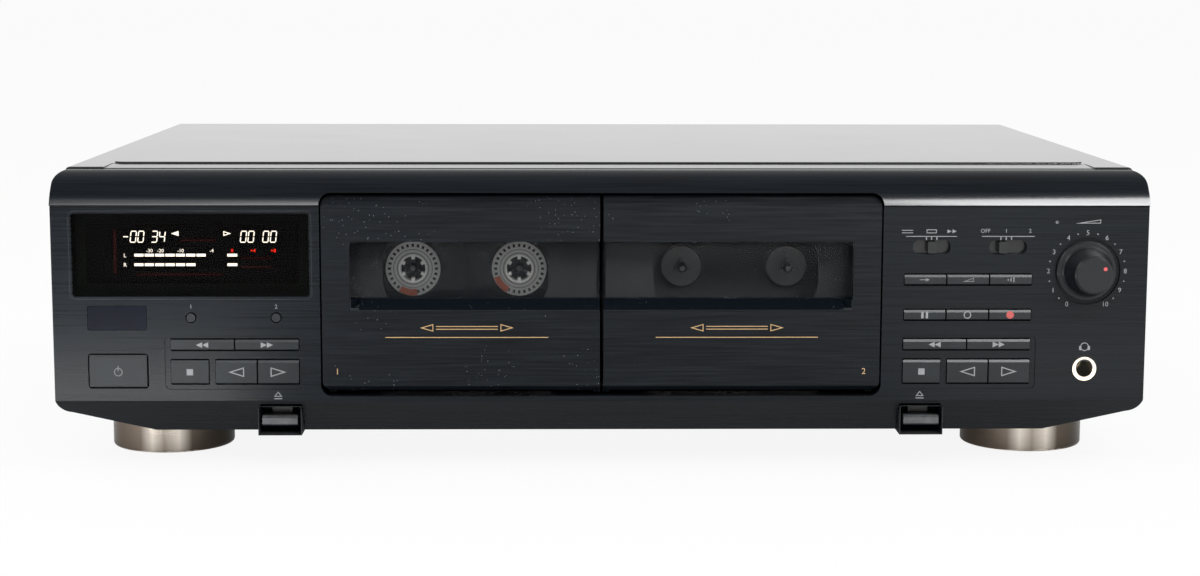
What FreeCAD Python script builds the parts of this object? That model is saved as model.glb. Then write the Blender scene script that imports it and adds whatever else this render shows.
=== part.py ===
import FreeCAD, Part
import os
import Sketcher

# A full-width double cassette deck for copying tapes. All lengths are millimetres.
# X runs to the right and Z up from the table. Y is drawn as depth behind the flat front face,
# and every body is then moved forward by one shared placement, so that the finished object
# stands centred on its origin.

SIZES = {
    # overall case
    "panel_width": 430.0,
    "panel_depth": 19.0,
    "panel_wall": 2.6,
    "panel_top": 119.5,
    "panel_bottom": 15.2,
    "face_top": 106.9,
    "face_bottom": 29.4,
    "brow_out": 1.2,
    "brow_back": 17.0,
    "apron_back": 13.0,
    "slant_inset": 5.5,
    "slant_length": 31.7,
    "slant_top": 24.0,
    "side_bottom": 30.5,
    "top_corner": 4.6,
    "case_depth": 287.6,
    "fit_gap": 0.3,
    "slide_gap": 0.5,
    "pin_play": 0.05,
    # folded top cover
    "cover_top": 120.2,
    "cover_inset": 2.3,
    "sheet": 1.0,
    "cover_skirt": 22.5,
    "cover_lip": 10.0,
    "plateau_margin": 15.3,
    "plateau_front": 38.0,
    "plateau_rear_margin": 21.6,
    "plateau_rise": 0.5,
    # chassis tray and rear panel
    "tray_floor": 22.0,
    "tray_sheet": 1.2,
    "tray_flange": 24.0,
    "rear_panel_sheet": 1.3,
    # feet
    "foot_radius": 25.2,
    "foot_inset": 35.4,
    "foot_front": 65.0,
    "foot_rear_inset": 42.6,
    "foot_edge": 1.2,
    "foot_hollow": 20.0,
    "foot_hollow_height": 3.0,
    # cassette doors
    "door_opening_half": 110.5,
    "door_opening_bottom": 31.1,
    "door_opening_top": 111.5,
    "door_opening_corner": 4.5,
    "door_gap": 0.7,
    "door_centre_gap": 0.7,
    "door_bottom": 33.3,
    "door_bevel": 1.9,
    "door_top": 110.5,
    "door_fold": 106.4,
    "door_lean": 4.0,
    "door_skin": 2.4,
    "door_return": 6.0,
    "shelf_depth": 11.0,
    "shelf_thickness": 2.2,
    "hinge_depth": 6.0,
    "hinge_height": 34.6,
    "hinge_pin": 1.5,
    # the window tray in each door
    "window_half": 98.9,
    "window_bottom": 65.2,
    "window_top": 92.4,
    "window_floor_half": 95.3,
    "window_floor_bottom": 69.4,
    "window_floor_top": 90.0,
    "window_depth": 5.6,
    "window_wall": 1.6,
    "window_block": 9.0,
    "window_block_margin": 1.2,
    "window_block_rise": 2.4,
    # cassette and its place in the deck
    "deck_centre": 54.0,
    "hub_spacing": 42.5,
    "hub_height": 79.3,
    "cassette_width": 100.4,
    "cassette_height": 63.8,
    "cassette_below_hub": 34.8,
    "cassette_thickness": 8.7,
    "cassette_middle": 23.0,
    "cassette_corner": 3.0,
    "cassette_wall": 1.2,
    "nose_thickness": 12.0,
    "nose_half": 33.5,
    "nose_taper": 2.0,
    "nose_height": 15.5,
    "hub_hole": 5.6,
    "hub_radius": 10.9,
    "hub_bore": 5.0,
    "hub_teeth": 6,
    "hub_tooth_height": 1.3,
    "hub_tooth_width": 1.3,
    "full_pack": 22.3,
    "small_pack": 14.8,
    # cassette holder behind each door
    "holder_side_room": 0.7,
    "holder_sheet": 1.2,
    "holder_front": 15.2,
    "holder_back": 29.5,
    "holder_top": 104.0,
    "holder_window_half": 33.0,
    "holder_window_bottom": 62.0,
    "holder_window_top": 96.0,
    "holder_ledge": 11.0,
    "holder_lip": 2.5,
    "holder_lip_bottom": 66.0,
    "holder_arm": 3.0,
    "door_post": 2.6,
    "door_post_across": 45.0,
    "door_post_low": 56.0,
    "door_post_high": 100.0,
    # tape mechanism
    "deck_plate_front": 31.6,
    "deck_plate_sheet": 1.5,
    "deck_plate_half": 53.4,
    "deck_plate_top": 113.0,
    "deck_foot_depth": 62.0,
    "ear_sheet": 1.0,
    "spindle_core": 1.9,
    "spindle_tip_depth": 20.3,
    "spindle_fin": 3.2,
    "spindle_fin_front": 24.2,
    "spindle_fin_width": 0.9,
    "spindle_fins": 3,
    "reel_table": 8.5,
    "reel_table_front": 28.5,
    "reel_table_back": 30.8,
    "reel_axle": 2.2,
    "reel_gear": 12.0,
    "reel_gear_front": 34.0,
    "reel_gear_sheet": 2.2,
    "capstan_across": 30.0,
    "capstan_height": 51.5,
    "capstan_radius": 1.25,
    "capstan_front": 20.3,
    "bearing_radius": 3.4,
    "bearing_back": 40.0,
    "flywheel_radius": 23.0,
    "flywheel_front": 42.0,
    "flywheel_sheet": 6.0,
    "flywheel_hub": 6.0,
    "motor_radius": 13.0,
    "motor_height": 98.0,
    "motor_length": 22.0,
    "head_carrier_front": 29.9,
    "head_carrier_sheet": 1.1,
    "head_carrier_half": 35.0,
    "head_carrier_bottom": 31.5,
    "head_carrier_top": 38.0,
    "head_half": 6.3,
    "head_front": 20.2,
    "head_back": 25.8,
    "head_top": 43.6,
    "pinch_radius": 5.4,
    "head_travel": 5.6,
    # left display and its driver
    "display_left": 207.0,
    "display_right": 114.6,
    "display_bottom": 70.8,
    "display_top": 103.5,
    "display_corner": 1.2,
    "window_flange": 1.5,
    "window_flange_sheet": 1.2,
    "tube_depth": 5.4,
    "tube_thickness": 5.0,
    "tube_margin": 4.5,
    "remote_left": 201.5,
    "remote_right": 178.3,
    "remote_bottom": 57.5,
    "remote_top": 67.2,
    # keys
    "field_inner_margin": 1.9,
    "field_outer_margin": 2.1,
    "field_bottom": 33.9,
    "field_top": 55.3,
    "field_depth": 0.5,
    "field_corner": 2.0,
    "keys_inner": 118.8,
    "keys_width": 50.7,
    "wide_row_bottom": 49.1,
    "wide_row_top": 54.3,
    "play_row_bottom": 35.7,
    "play_row_top": 46.1,
    "stop_width": 15.3,
    "stop_gap": 2.2,
    "copy_row_bottom": 75.0,
    "copy_row_top": 80.0,
    "record_row_bottom": 61.0,
    "record_row_top": 66.0,
    "key_gap": 0.6,
    "key_out": 0.5,
    "key_corner": 0.7,
    "key_edge": 0.3,
    "key_slope_height": 0.9,
    "key_slope_depth": 0.6,
    "key_cap_back": 4.3,
    "key_flange": 1.0,
    "key_stem": 1.5,
    "key_travel": 0.8,
    "switch_gap": 0.4,
    "power_left": 201.7,
    "power_right": 178.0,
    "power_bottom": 34.3,
    "power_top": 48.3,
    "power_corner": 1.4,
    "power_out": 0.6,
    "power_travel": 2.6,
    "reset_far": 161.0,
    "reset_near": 127.7,
    "reset_height": 62.5,
    "reset_hole": 2.2,
    "reset_radius": 1.7,
    # slide switches
    "slot_width": 14.8,
    "slot_height": 5.6,
    "slot_corner": 2.5,
    "slot_centre_height": 90.3,
    "direction_slot": 129.6,
    "noise_slot": 159.7,
    "slider_nub": 3.4,
    "slider_nub_height": 4.6,
    "slider_out": 1.2,
    "slider_travel": 2.1,
    "slider_plate_front": 3.1,
    "slider_plate_sheet": 1.2,
    "slider_cover": 2.6,
    # level control
    "knob_across": 191.0,
    "knob_height": 80.8,
    "knob_well": 13.3,
    "knob_well_depth": 1.3,
    "knob_skirt": 11.9,
    "knob_body": 9.4,
    "knob_cap": 6.7,
    "knob_out": 13.0,
    "knob_shoulder": 3.0,
    "knob_edge": 0.8,
    "knob_notch": 0.9,
    "knob_socket_depth": 9.0,
    "shaft_radius": 3.0,
    "shaft_bush": 4.2,
    "control_size": 16.0,
    # headphone socket
    "socket_height": 41.95,
    "socket_bore": 3.25,
    "socket_bush": 4.5,
    "socket_ring": 4.75,
    "socket_ring_out": 0.7,
    "socket_length": 21.0,
    "socket_body": 13.0,
    # eject levers
    "eject_hole_inner": 118.3,
    "eject_hole_outer": 134.8,
    "eject_hole_bottom": 17.9,
    "eject_hole_top": 27.8,
    "eject_tab_inner": 120.4,
    "eject_tab_outer": 134.3,
    "eject_tab_bottom": 18.8,
    "eject_tab_top": 22.5,
    "eject_tab_front": 3.4,
    "eject_back": 16.0,
    "eject_arm_front": 12.6,
    "eject_arm_top": 31.0,
    "eject_arm_inset": 3.0,
    "eject_travel": 3.0,
    # circuit boards
    "board_front": 15.6,
    "board_sheet": 1.6,
    "board_outer": 208.5,
    "board_inner": 113.8,
    "board_bottom": 32.6,
    "board_top": 104.6,
    "board_boss": 2.2,
    "board_boss_inset": 2.6,
    "board_boss_high": 66.6,
    "main_board_left": 120.0,
    "main_board_right": 196.0,
    "main_board_front": 120.0,
    "main_board_back": 272.0,
    "main_board_height": 30.0,
    "capacitor_radius": 9.0,
    "capacitor_height": 26.0,
    "transformer_inset": 47.7,
    "transformer_middle": 215.0,
    "transformer_width": 58.0,
    "transformer_depth": 46.0,
    "transformer_height": 48.0,
    "coil_overhang": 9.0,
    # rear sockets
    "jack_across": 120.0,
    "jack_pitch": 14.0,
    "jack_low": 58.0,
    "jack_radius": 4.15,
    "jack_pin_hole": 1.7,
    "jack_out": 8.4,
    "jack_base": 2.0,
    "jack_base_margin": 8.0,
    "gland_across": 175.0,
    "gland_height": 41.0,
    "gland_radius": 6.4,
    "gland_flange": 9.0,
    "gland_bore": 3.8,
    "gland_out": 5.0,
    "gland_in": 8.0,
}


class Size:
    """A length and the spreadsheet expression that gives it."""

    def __init__(self, value, text):
        self.value = float(value)
        self.text = text

    def __add__(self, other):
        other = as_size(other)
        return Size(self.value + other.value, f"({self.text} + {other.text})")

    def __sub__(self, other):
        other = as_size(other)
        return Size(self.value - other.value, f"({self.text} - {other.text})")

    def __rsub__(self, other):
        return as_size(other) - self

    def __mul__(self, factor):
        return Size(self.value * factor, f"({self.text} * {factor})")

    def __truediv__(self, factor):
        return Size(self.value / factor, f"({self.text} / {factor})")

    def __neg__(self):
        return Size(-self.value, f"(-{self.text})")

    __radd__ = __add__
    __rmul__ = __mul__


def as_size(number):
    """A plain number as a Size; a Size is returned unchanged."""
    return number if isinstance(number, Size) else Size(number, str(number))


class Lengths:
    """The cells of the spreadsheet by name."""

    def __getattr__(self, name):
        return Size(SIZES[name], f"Sizes.{name}")


mm = Lengths()
doc = FreeCAD.newDocument("double_cassette_deck")
sheet = doc.addObject("Spreadsheet::Sheet", "Sizes")
for row, (name, value) in enumerate(SIZES.items(), 1):
    sheet.set(f"A{row}", name)
    sheet.set(f"B{row}", str(value))
    sheet.setAlias(f"B{row}", name)
doc.recompute()

VECTOR = FreeCAD.Vector
FORWARD = -(mm.case_depth + mm.jack_out - mm.knob_out) / 2
AXES = {"X": "YZ_Plane", "Y": "XZ_Plane", "Z": "XY_Plane"}
nodes = []


def new_body(name):
    """An empty body whose label names its file, moved so that the object stands on its origin."""
    body = doc.addObject("PartDesign::Body", name)
    body.Label = name
    body.AllowCompound = True
    body.setExpression(".Placement.Base.y", FORWARD.text)
    nodes.append(body)
    return body


def sketch_across(body, axis, start, centre=(0, 0)):
    """A sketch square to an axis at a distance along it. Y sketches hold X and Z, X sketches Y and Z."""
    sketch = body.newObject("Sketcher::SketchObject", f"{body.Name}_sketch")
    role = AXES[axis]
    plane = next(item for item in body.Origin.OriginFeatures if item.Role == role)
    sketch.AttachmentSupport = [(plane, "")]
    sketch.MapMode = "FlatFace"
    start = as_size(start)
    offset = -start if axis == "Y" else start
    values = (as_size(centre[0]), as_size(centre[1]), offset)
    for letter, value in zip("xyz", values):
        sketch.setExpression(f".AttachmentOffset.Base.{letter}", value.text)
    sketch.AttachmentOffset = FreeCAD.Placement(VECTOR(*(value.value for value in values)),
                                                FreeCAD.Rotation())
    return sketch


def hold_point(sketch, item, end, point):
    """Ties one point of the sketch to its two sheet values."""
    for kind, value in zip(("DistanceX", "DistanceY"), point):
        value = as_size(value)
        number = sketch.addConstraint(Sketcher.Constraint(kind, -1, 1, item, end, value.value))
        sketch.setExpression(f"Constraints[{number}]", value.text)


def flat(point):
    return VECTOR(as_size(point[0]).value, as_size(point[1]).value, 0)


def draw_loop(sketch, points):
    """A closed outline. A point of four values starts an arc through its last two."""
    first = sketch.GeometryCount
    count = len(points)
    for index, point in enumerate(points):
        following = points[(index + 1) % count]
        if len(point) == 4:
            shape = Part.Arc(flat(point[:2]), flat(point[2:]), flat(following[:2]))
            sketch.addGeometry(shape)
        else:
            sketch.addGeometry(Part.LineSegment(flat(point), flat(following[:2])))
    starts = []
    ends = []
    for index, point in enumerate(points):
        item = first + index
        start_end = (1, 2)
        if len(point) == 4:
            there = sketch.getPoint(item, 1)
            if (there - flat(point[:2])).Length > 1e-6:
                start_end = (2, 1)
        starts.append((item, start_end[0]))
        ends.append((item, start_end[1]))
    for index in range(count):
        ahead = starts[(index + 1) % count]
        sketch.addConstraint(Sketcher.Constraint("Coincident", *ends[index], *ahead))
    for (item, end), point in zip(starts, points):
        hold_point(sketch, item, end, point[:2])
        if len(point) == 4:
            mark = sketch.addGeometry(Part.Point(flat(point[2:])), True)
            hold_point(sketch, mark, 1, point[2:])
            sketch.addConstraint(Sketcher.Constraint("PointOnObject", mark, 1, item))


def draw_circle(sketch, centre, radius):
    item = sketch.addGeometry(Part.Circle(flat(centre), VECTOR(0, 0, 1), radius.value))
    hold_point(sketch, item, 3, centre)
    number = sketch.addConstraint(Sketcher.Constraint("Radius", item, radius.value))
    sketch.setExpression(f"Constraints[{number}]", radius.text)


def rounded(low, high, corner):
    """The outline of an upright rectangle with round corners."""
    near = corner * 0.292893
    x0, y0, x1, y1 = low[0], low[1], high[0], high[1]
    return [(x0 + corner, y0), (x1 - corner, y0, x1 - near, y0 + near),
            (x1, y0 + corner), (x1, y1 - corner, x1 - near, y1 - near),
            (x1 - corner, y1), (x0 + corner, y1, x0 + near, y1 - near),
            (x0, y1 - corner), (x0, y0 + corner, x0 + near, y0 + near)]


def extrude(body, sketch, axis, length, cut=False):
    """Adds or cuts the sketch's outline along the positive axis."""
    kind = "Pocket" if cut else "Pad"
    feature = body.newObject(f"PartDesign::{kind}", f"{body.Name}_{kind.lower()}")
    feature.Profile = sketch
    feature.Reversed = (axis == "Y") != cut
    length = as_size(length)
    feature.Length = length.value
    feature.setExpression("Length", length.text)
    return feature


def prism(body, axis, points, start, end, cut=False):
    sketch = sketch_across(body, axis, start)
    draw_loop(sketch, points)
    return extrude(body, sketch, axis, as_size(end) - as_size(start), cut)


def plate(body, x, y, z, corner=None, cut=False):
    """A plate or a rectangular cut seen from the front, between pairs of X, Y and Z."""
    low = (as_size(x[0]), as_size(z[0]))
    high = (as_size(x[1]), as_size(z[1]))
    points = [low, (high[0], low[1]), high, (low[0], high[1])]
    if corner is not None:
        points = rounded(low, high, corner)
    return prism(body, "Y", points, y[0], y[1], cut)


def rod(body, axis, centre, radius, start, end, cut=False):
    sketch = sketch_across(body, axis, start)
    draw_circle(sketch, centre, radius)
    return extrude(body, sketch, axis, as_size(end) - as_size(start), cut)


def turned(body, axis, centre, points):
    """Turns an outline of (radius, distance) points round an axis along Y or Z through centre."""
    if axis == "Y":
        sketch = sketch_across(body, "Z", centre[1], (centre[0], 0))
    else:
        sketch = sketch_across(body, "Y", centre[1], (centre[0], 0))
    draw_loop(sketch, points)
    feature = body.newObject("PartDesign::Revolution", f"{body.Name}_revolution")
    feature.Profile = sketch
    feature.ReferenceAxis = (sketch, ["V_Axis"])
    feature.Angle = 360
    return feature


def mirror_pair(low, high, side):
    """A pair of X values on the left (side -1) or the right (side 1), in rising order."""
    return (low, high) if side > 0 else (-high, -low)


def spin_copies(body, feature, count, centre):
    """Repeats a feature round an axis along Y through centre."""
    sketch = sketch_across(body, "Z", centre[1], (centre[0], 0))
    sketch.addGeometry(Part.LineSegment(VECTOR(0, 0, 0), VECTOR(0, 1, 0)), True)
    pattern = body.newObject("PartDesign::PolarPattern", f"{body.Name}_pattern")
    pattern.Originals = [feature]
    pattern.Axis = (sketch, ["V_Axis"])
    pattern.Angle = 360
    pattern.Occurrences = count
    body.Tip = pattern
    return pattern


# Outlines that several pieces share

half_width = mm.panel_width / 2
cover_half = half_width - mm.cover_inset
plateau_half = cover_half - mm.plateau_margin
slant_half = half_width - mm.slant_inset
flat_bottom_half = slant_half - mm.slant_length
foot_across = half_width - mm.foot_inset


def front_outline(inset):
    """The panel seen from the front, drawn in from its edge by inset."""
    corner = mm.top_corner - inset
    side = half_width - inset
    top = mm.panel_top - inset
    near = corner * 0.292893
    return [(-flat_bottom_half, mm.panel_bottom + inset), (flat_bottom_half, mm.panel_bottom + inset),
            (slant_half - inset, mm.slant_top + inset, side - 1.1, mm.slant_top + 2.4 + inset),
            (side, mm.side_bottom + inset), (side, top - corner, side - near, top - near),
            (side - corner, top), (-side + corner, top, -side + near, top - near),
            (-side, top - corner), (-side, mm.side_bottom + inset, -side + 1.1, mm.slant_top + 2.4 + inset),
            (-slant_half + inset, mm.slant_top + inset)]


def side_section(inset, back, floor=None):
    """The panel's section: bottom, sloped apron, flat face and rounded brow, drawn in by inset."""
    deep = mm.brow_back + mm.brow_out - inset
    tall = mm.panel_top - mm.face_top - inset
    low = mm.panel_bottom + inset if floor is None else floor
    lip = (mm.brow_back - deep, mm.face_top)
    crown = (mm.brow_back - deep * 0.608, mm.face_top + tall * 0.725)
    points = [(mm.apron_back + inset * 0.45, low)] if floor is None else [(inset, low)]
    if floor is None:
        points.append((inset, mm.face_bottom + inset * 0.45))
    points += [(inset, mm.face_top - 0.5), lip + crown, (mm.brow_back, mm.panel_top - inset),
               (back, mm.panel_top - inset), (back, low)]
    return points


# Key rows. Each entry: name, left edge, right edge, bottom, top.

def key_row(names, left, width, bottom, top):
    """Shares a row's width equally between its keys, with half a gap at each side."""
    share = width / len(names)
    keys = []
    for index, name in enumerate(names):
        keys.append((name, left + share * index, left + share * (index + 1), bottom, top))
    return keys


left_keys = -(mm.keys_inner + mm.keys_width)
right_keys = mm.keys_inner
key_groups = []
for deck, left in (("a", left_keys), ("b", right_keys)):
    key_groups.append(key_row([f"rewind_key_{deck}", f"fast_forward_key_{deck}"], left, mm.keys_width,
                              mm.wide_row_bottom, mm.wide_row_top))
    key_groups.append(key_row([f"stop_key_{deck}"], left, mm.stop_width,
                              mm.play_row_bottom, mm.play_row_top))
    key_groups.append(key_row([f"reverse_play_key_{deck}", f"play_key_{deck}"],
                              left + mm.stop_width + mm.stop_gap,
                              mm.keys_width - mm.stop_width - mm.stop_gap,
                              mm.play_row_bottom, mm.play_row_top))
key_groups.append(key_row(["copy_key", "fader_key", "level_search_key"], right_keys, mm.keys_width,
                          mm.copy_row_bottom, mm.copy_row_top))
key_groups.append(key_row(["pause_key", "record_mute_key", "record_key"], right_keys, mm.keys_width,
                          mm.record_row_bottom, mm.record_row_top))

resets = (("reset_button_a", -mm.reset_far), ("reset_button_b", -mm.reset_near))
slots = (("direction_slider", mm.direction_slot, 0), ("noise_slider", mm.noise_slot, -1))
board_bosses = []
for side in (-1, 1):
    for across in (mm.board_inner + mm.board_boss_inset, mm.board_outer - mm.board_boss_inset):
        for height in (mm.board_bottom + mm.board_boss_inset, mm.board_boss_high):
            board_bosses.append((across * side, height))


def make_front_panel():
    """One moulding: bowed brow, flat face, sloped apron, openings, door shelf and board bosses."""
    body = new_body("front_panel")
    prism(body, "X", side_section(as_size(0), mm.panel_depth), -half_width, half_width)
    sketch = sketch_across(body, "Y", -5)
    draw_loop(sketch, [(-half_width - 10, -10), (half_width + 10, -10),
                       (half_width + 10, mm.panel_top + 10), (-half_width - 10, mm.panel_top + 10)])
    draw_loop(sketch, front_outline(as_size(0)))
    extrude(body, sketch, "Y", mm.panel_depth + 10, True)
    wall = mm.panel_wall
    cavity_back = mm.panel_depth + 1
    inner = flat_bottom_half - wall
    prism(body, "X", side_section(wall, cavity_back), -inner, inner, True)
    for side in (-1, 1):
        x = mirror_pair(inner - 1, half_width - wall, side)
        prism(body, "X", side_section(wall, cavity_back, mm.side_bottom), x[0], x[1], True)
    plate(body, (-mm.door_opening_half - 2, mm.door_opening_half + 2), (0, mm.shelf_depth),
          (mm.door_opening_bottom - mm.shelf_thickness, mm.door_opening_bottom))
    for x, z in board_bosses:
        rod(body, "Y", (x, z), mm.board_boss, wall - 0.1, mm.board_front)
    deep = mm.panel_depth
    plate(body, (-mm.door_opening_half, mm.door_opening_half), (-5, wall + 3),
          (mm.door_opening_bottom, mm.door_opening_top), mm.door_opening_corner, True)
    plate(body, (-mm.display_left, -mm.display_right), (-5, wall + 3),
          (mm.display_bottom, mm.display_top), mm.display_corner, True)
    plate(body, (-mm.remote_left, -mm.remote_right), (-5, wall + 3),
          (mm.remote_bottom, mm.remote_top), mm.key_corner, True)
    for group in key_groups:
        plate(body, (group[0][1], group[-1][2]), (-5, wall + 3), (group[0][3], group[0][4]),
              mm.key_corner, True)
    for side in (-1, 1):
        x = mirror_pair(mm.keys_inner - mm.field_inner_margin,
                        mm.keys_inner + mm.keys_width + mm.field_outer_margin, side)
        plate(body, x, (-5, mm.field_depth), (mm.field_bottom, mm.field_top), mm.field_corner, True)
    plate(body, (-mm.power_left, -mm.power_right), (-5, wall + 3), (mm.power_bottom, mm.power_top),
          mm.power_corner, True)
    for name, x in resets:
        rod(body, "Y", (x, mm.reset_height), mm.reset_hole, -5, wall + 3, True)
    for name, x, place in slots:
        plate(body, (x - mm.slot_width / 2, x + mm.slot_width / 2), (-5, wall + 3),
              (mm.slot_centre_height - mm.slot_height / 2, mm.slot_centre_height + mm.slot_height / 2),
              mm.slot_corner, True)
    rod(body, "Y", (mm.knob_across, mm.knob_height), mm.knob_well, -5, mm.knob_well_depth, True)
    rod(body, "Y", (mm.knob_across, mm.knob_height), mm.shaft_bush + mm.fit_gap, -5, wall + 3, True)
    rod(body, "Y", (mm.knob_across, mm.socket_height), mm.socket_bush + mm.pin_play, -5, wall + 3, True)
    for side in (-1, 1):
        plate(body, mirror_pair(mm.eject_hole_inner, mm.eject_hole_outer, side), (-5, deep - 4),
              (mm.eject_hole_bottom, mm.eject_hole_top), mm.key_corner, True)
    return body


def make_top_cover():
    """Folded steel lid with a pressed panel, side skirts and a rear lip."""
    body = new_body("top_cover")
    half = cover_half
    inner = half - mm.sheet
    under = mm.cover_top - mm.sheet
    start = mm.panel_depth + mm.fit_gap
    fold = [(-half, mm.cover_skirt), (-inner, mm.cover_skirt), (-inner, under), (inner, under),
            (inner, mm.cover_skirt), (half, mm.cover_skirt),
            (half, mm.cover_top - 2, half - 0.586, mm.cover_top - 0.586), (half - 2, mm.cover_top),
            (-half + 2, mm.cover_top, -half + 0.586, mm.cover_top - 0.586), (-half, mm.cover_top - 2)]
    prism(body, "Y", fold, start, mm.case_depth)
    plate(body, (-inner, inner), (mm.case_depth - mm.sheet, mm.case_depth),
          (mm.cover_top - mm.cover_lip, under + 0.2))
    wide = plateau_half
    sketch = sketch_across(body, "Z", mm.cover_top - 0.2)
    draw_loop(sketch, rounded((-wide, mm.plateau_front), (wide, mm.case_depth - mm.plateau_rear_margin), as_size(5)))
    extrude(body, sketch, "Z", mm.plateau_rise + 0.2)
    front_strip = [(start - 1, mm.cover_top - mm.plateau_rise), (start - 1, mm.cover_top + 1),
                   (mm.plateau_front - 0.4, mm.cover_top + 1), (mm.plateau_front - 1, mm.cover_top - 0.1)]
    prism(body, "X", front_strip, -wide, wide, True)
    return body


def make_chassis_tray():
    """Folded steel floor with side, front and rear flanges and two stiffening ribs."""
    body = new_body("chassis_tray")
    half = cover_half - mm.sheet - mm.fit_gap
    sheet_metal = mm.tray_sheet
    front = mm.panel_depth + mm.fit_gap
    back = mm.case_depth - mm.sheet - mm.fit_gap - mm.rear_panel_sheet
    floor = mm.tray_floor
    section = [(-half, floor), (half, floor), (half, floor + mm.tray_flange),
               (half - sheet_metal, floor + mm.tray_flange), (half - sheet_metal, floor + sheet_metal),
               (-half + sheet_metal, floor + sheet_metal), (-half + sheet_metal, floor + mm.tray_flange),
               (-half, floor + mm.tray_flange)]
    prism(body, "Y", section, front, back)
    plate(body, (-half, half), (back - sheet_metal, back), (floor, floor + mm.tray_flange / 2))
    for y in (95, 215):
        rib = [(y, floor + sheet_metal), (y + 14, floor + sheet_metal), (y + 11, floor + sheet_metal + 2.5),
               (y + 3, floor + sheet_metal + 2.5)]
        prism(body, "X", rib, -half + 30, half - 30)
    return body


def make_rear_panel():
    """Flat steel back with holes for the line sockets and the cord gland."""
    body = new_body("rear_panel")
    half = cover_half - mm.sheet - mm.fit_gap
    back = mm.case_depth - mm.sheet - mm.fit_gap
    front = back - mm.rear_panel_sheet
    plate(body, (-half, half), (front, back), (mm.tray_floor, mm.cover_top - mm.sheet - mm.fit_gap))
    for x, z in jack_places:
        rod(body, "Y", (x, z), mm.jack_radius + 0.8, front - 1, back + 1, True)
    rod(body, "Y", (mm.gland_across, mm.gland_height), mm.gland_radius + mm.pin_play, front - 1, back + 1, True)
    return body


jack_places = []
for column in (0, 1):
    for level in (0, 1):
        jack_places.append((-mm.jack_across + mm.jack_pitch * column, mm.jack_low + mm.jack_pitch * level))


def make_line_jacks():
    """Four line sockets on one moulded base behind the rear panel."""
    body = new_body("line_jacks")
    back = mm.case_depth - mm.sheet - mm.fit_gap
    front = back - mm.rear_panel_sheet
    margin = mm.jack_base_margin
    plate(body, (-mm.jack_across - margin, -mm.jack_across + mm.jack_pitch + margin),
          (front - 6, front), (mm.jack_low - margin, mm.jack_low + mm.jack_pitch + margin))
    for x, z in jack_places:
        rod(body, "Y", (x, z), mm.jack_radius, front - 1, mm.case_depth + mm.jack_out)
        rod(body, "Y", (x, z), mm.jack_pin_hole, front, mm.case_depth + mm.jack_out + 1, True)
    return body


def make_cord_gland():
    """Round grommet of the mains lead, with its through bore."""
    body = new_body("cord_gland")
    back = mm.case_depth - mm.sheet - mm.fit_gap
    front = back - mm.rear_panel_sheet
    outside = back + mm.gland_out
    turned(body, "Y", (mm.gland_across, mm.gland_height),
           [(mm.gland_bore, front - mm.gland_in), (mm.gland_radius, front - mm.gland_in),
            (mm.gland_radius, back), (mm.gland_flange, back), (mm.gland_flange, back + 1.5),
            (mm.gland_flange - 2.5, outside), (mm.gland_bore, outside)])
    return body


def make_feet():
    """Four turned feet with a rounded lower edge and a hollow underside."""
    body = new_body("feet")
    edge = mm.foot_edge
    near = edge * 0.292893
    wide = mm.foot_radius
    outline = [(0, mm.foot_hollow_height), (mm.foot_hollow, mm.foot_hollow_height), (mm.foot_hollow, 0),
               (wide - edge, 0, wide - near, near), (wide, edge), (wide, mm.tray_floor), (0, mm.tray_floor)]
    for side in (-1, 1):
        for depth in (mm.foot_front, mm.case_depth - mm.foot_rear_inset):
            turned(body, "Z", (foot_across * side, depth), outline)
    return body


def make_display_window():
    """Smoked window that clips in from behind."""
    body = new_body("display_window")
    gap = as_size(0.15)
    wall = mm.panel_wall
    plate(body, (-mm.display_left + gap, -mm.display_right - gap), (0.15, wall + mm.window_flange_sheet),
          (mm.display_bottom + gap, mm.display_top - gap), mm.display_corner)
    flange = mm.window_flange
    plate(body, (-mm.display_left - flange, -mm.display_right + flange), (wall, wall + mm.window_flange_sheet),
          (mm.display_bottom - flange, mm.display_top + flange), mm.display_corner)
    return body


def make_display_tube():
    """Glass display tube that stands in front of the key board."""
    body = new_body("display_tube")
    margin = mm.tube_margin
    plate(body, (-mm.display_left + margin, -mm.display_right - margin),
          (mm.tube_depth, mm.tube_depth + mm.tube_thickness),
          (mm.display_bottom + margin, mm.display_top - margin), as_size(1))
    plate(body, (-mm.display_left + margin * 2, -mm.display_right - margin * 2),
          (mm.tube_depth + mm.tube_thickness, mm.board_front),
          (mm.display_bottom + margin * 2, mm.display_top - margin * 2))
    return body


def make_remote_window():
    """Dark window of the remote-control eye."""
    body = new_body("remote_window")
    gap = as_size(0.15)
    wall = mm.panel_wall
    plate(body, (-mm.remote_left + gap, -mm.remote_right - gap), (0.15, wall + mm.window_flange_sheet),
          (mm.remote_bottom + gap, mm.remote_top - gap), mm.key_corner)
    flange = mm.window_flange
    plate(body, (-mm.remote_left - flange, -mm.remote_right + flange), (wall, wall + mm.window_flange_sheet),
          (mm.remote_bottom - flange, mm.remote_top + flange), mm.key_corner)
    return body


switch_front = mm.key_cap_back + 6.5


def key_cap(body, x, z, front):
    """A cap with a small lower edge and a sloped upper edge, from its front back to its flange."""
    outline = [(mm.key_cap_back, z[0]), (front + mm.key_edge, z[0]), (front, z[0] + mm.key_edge),
               (front, z[1] - mm.key_slope_height), (front + mm.key_slope_depth, z[1]), (mm.key_cap_back, z[1])]
    return prism(body, "X", outline, x[0], x[1])


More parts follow.
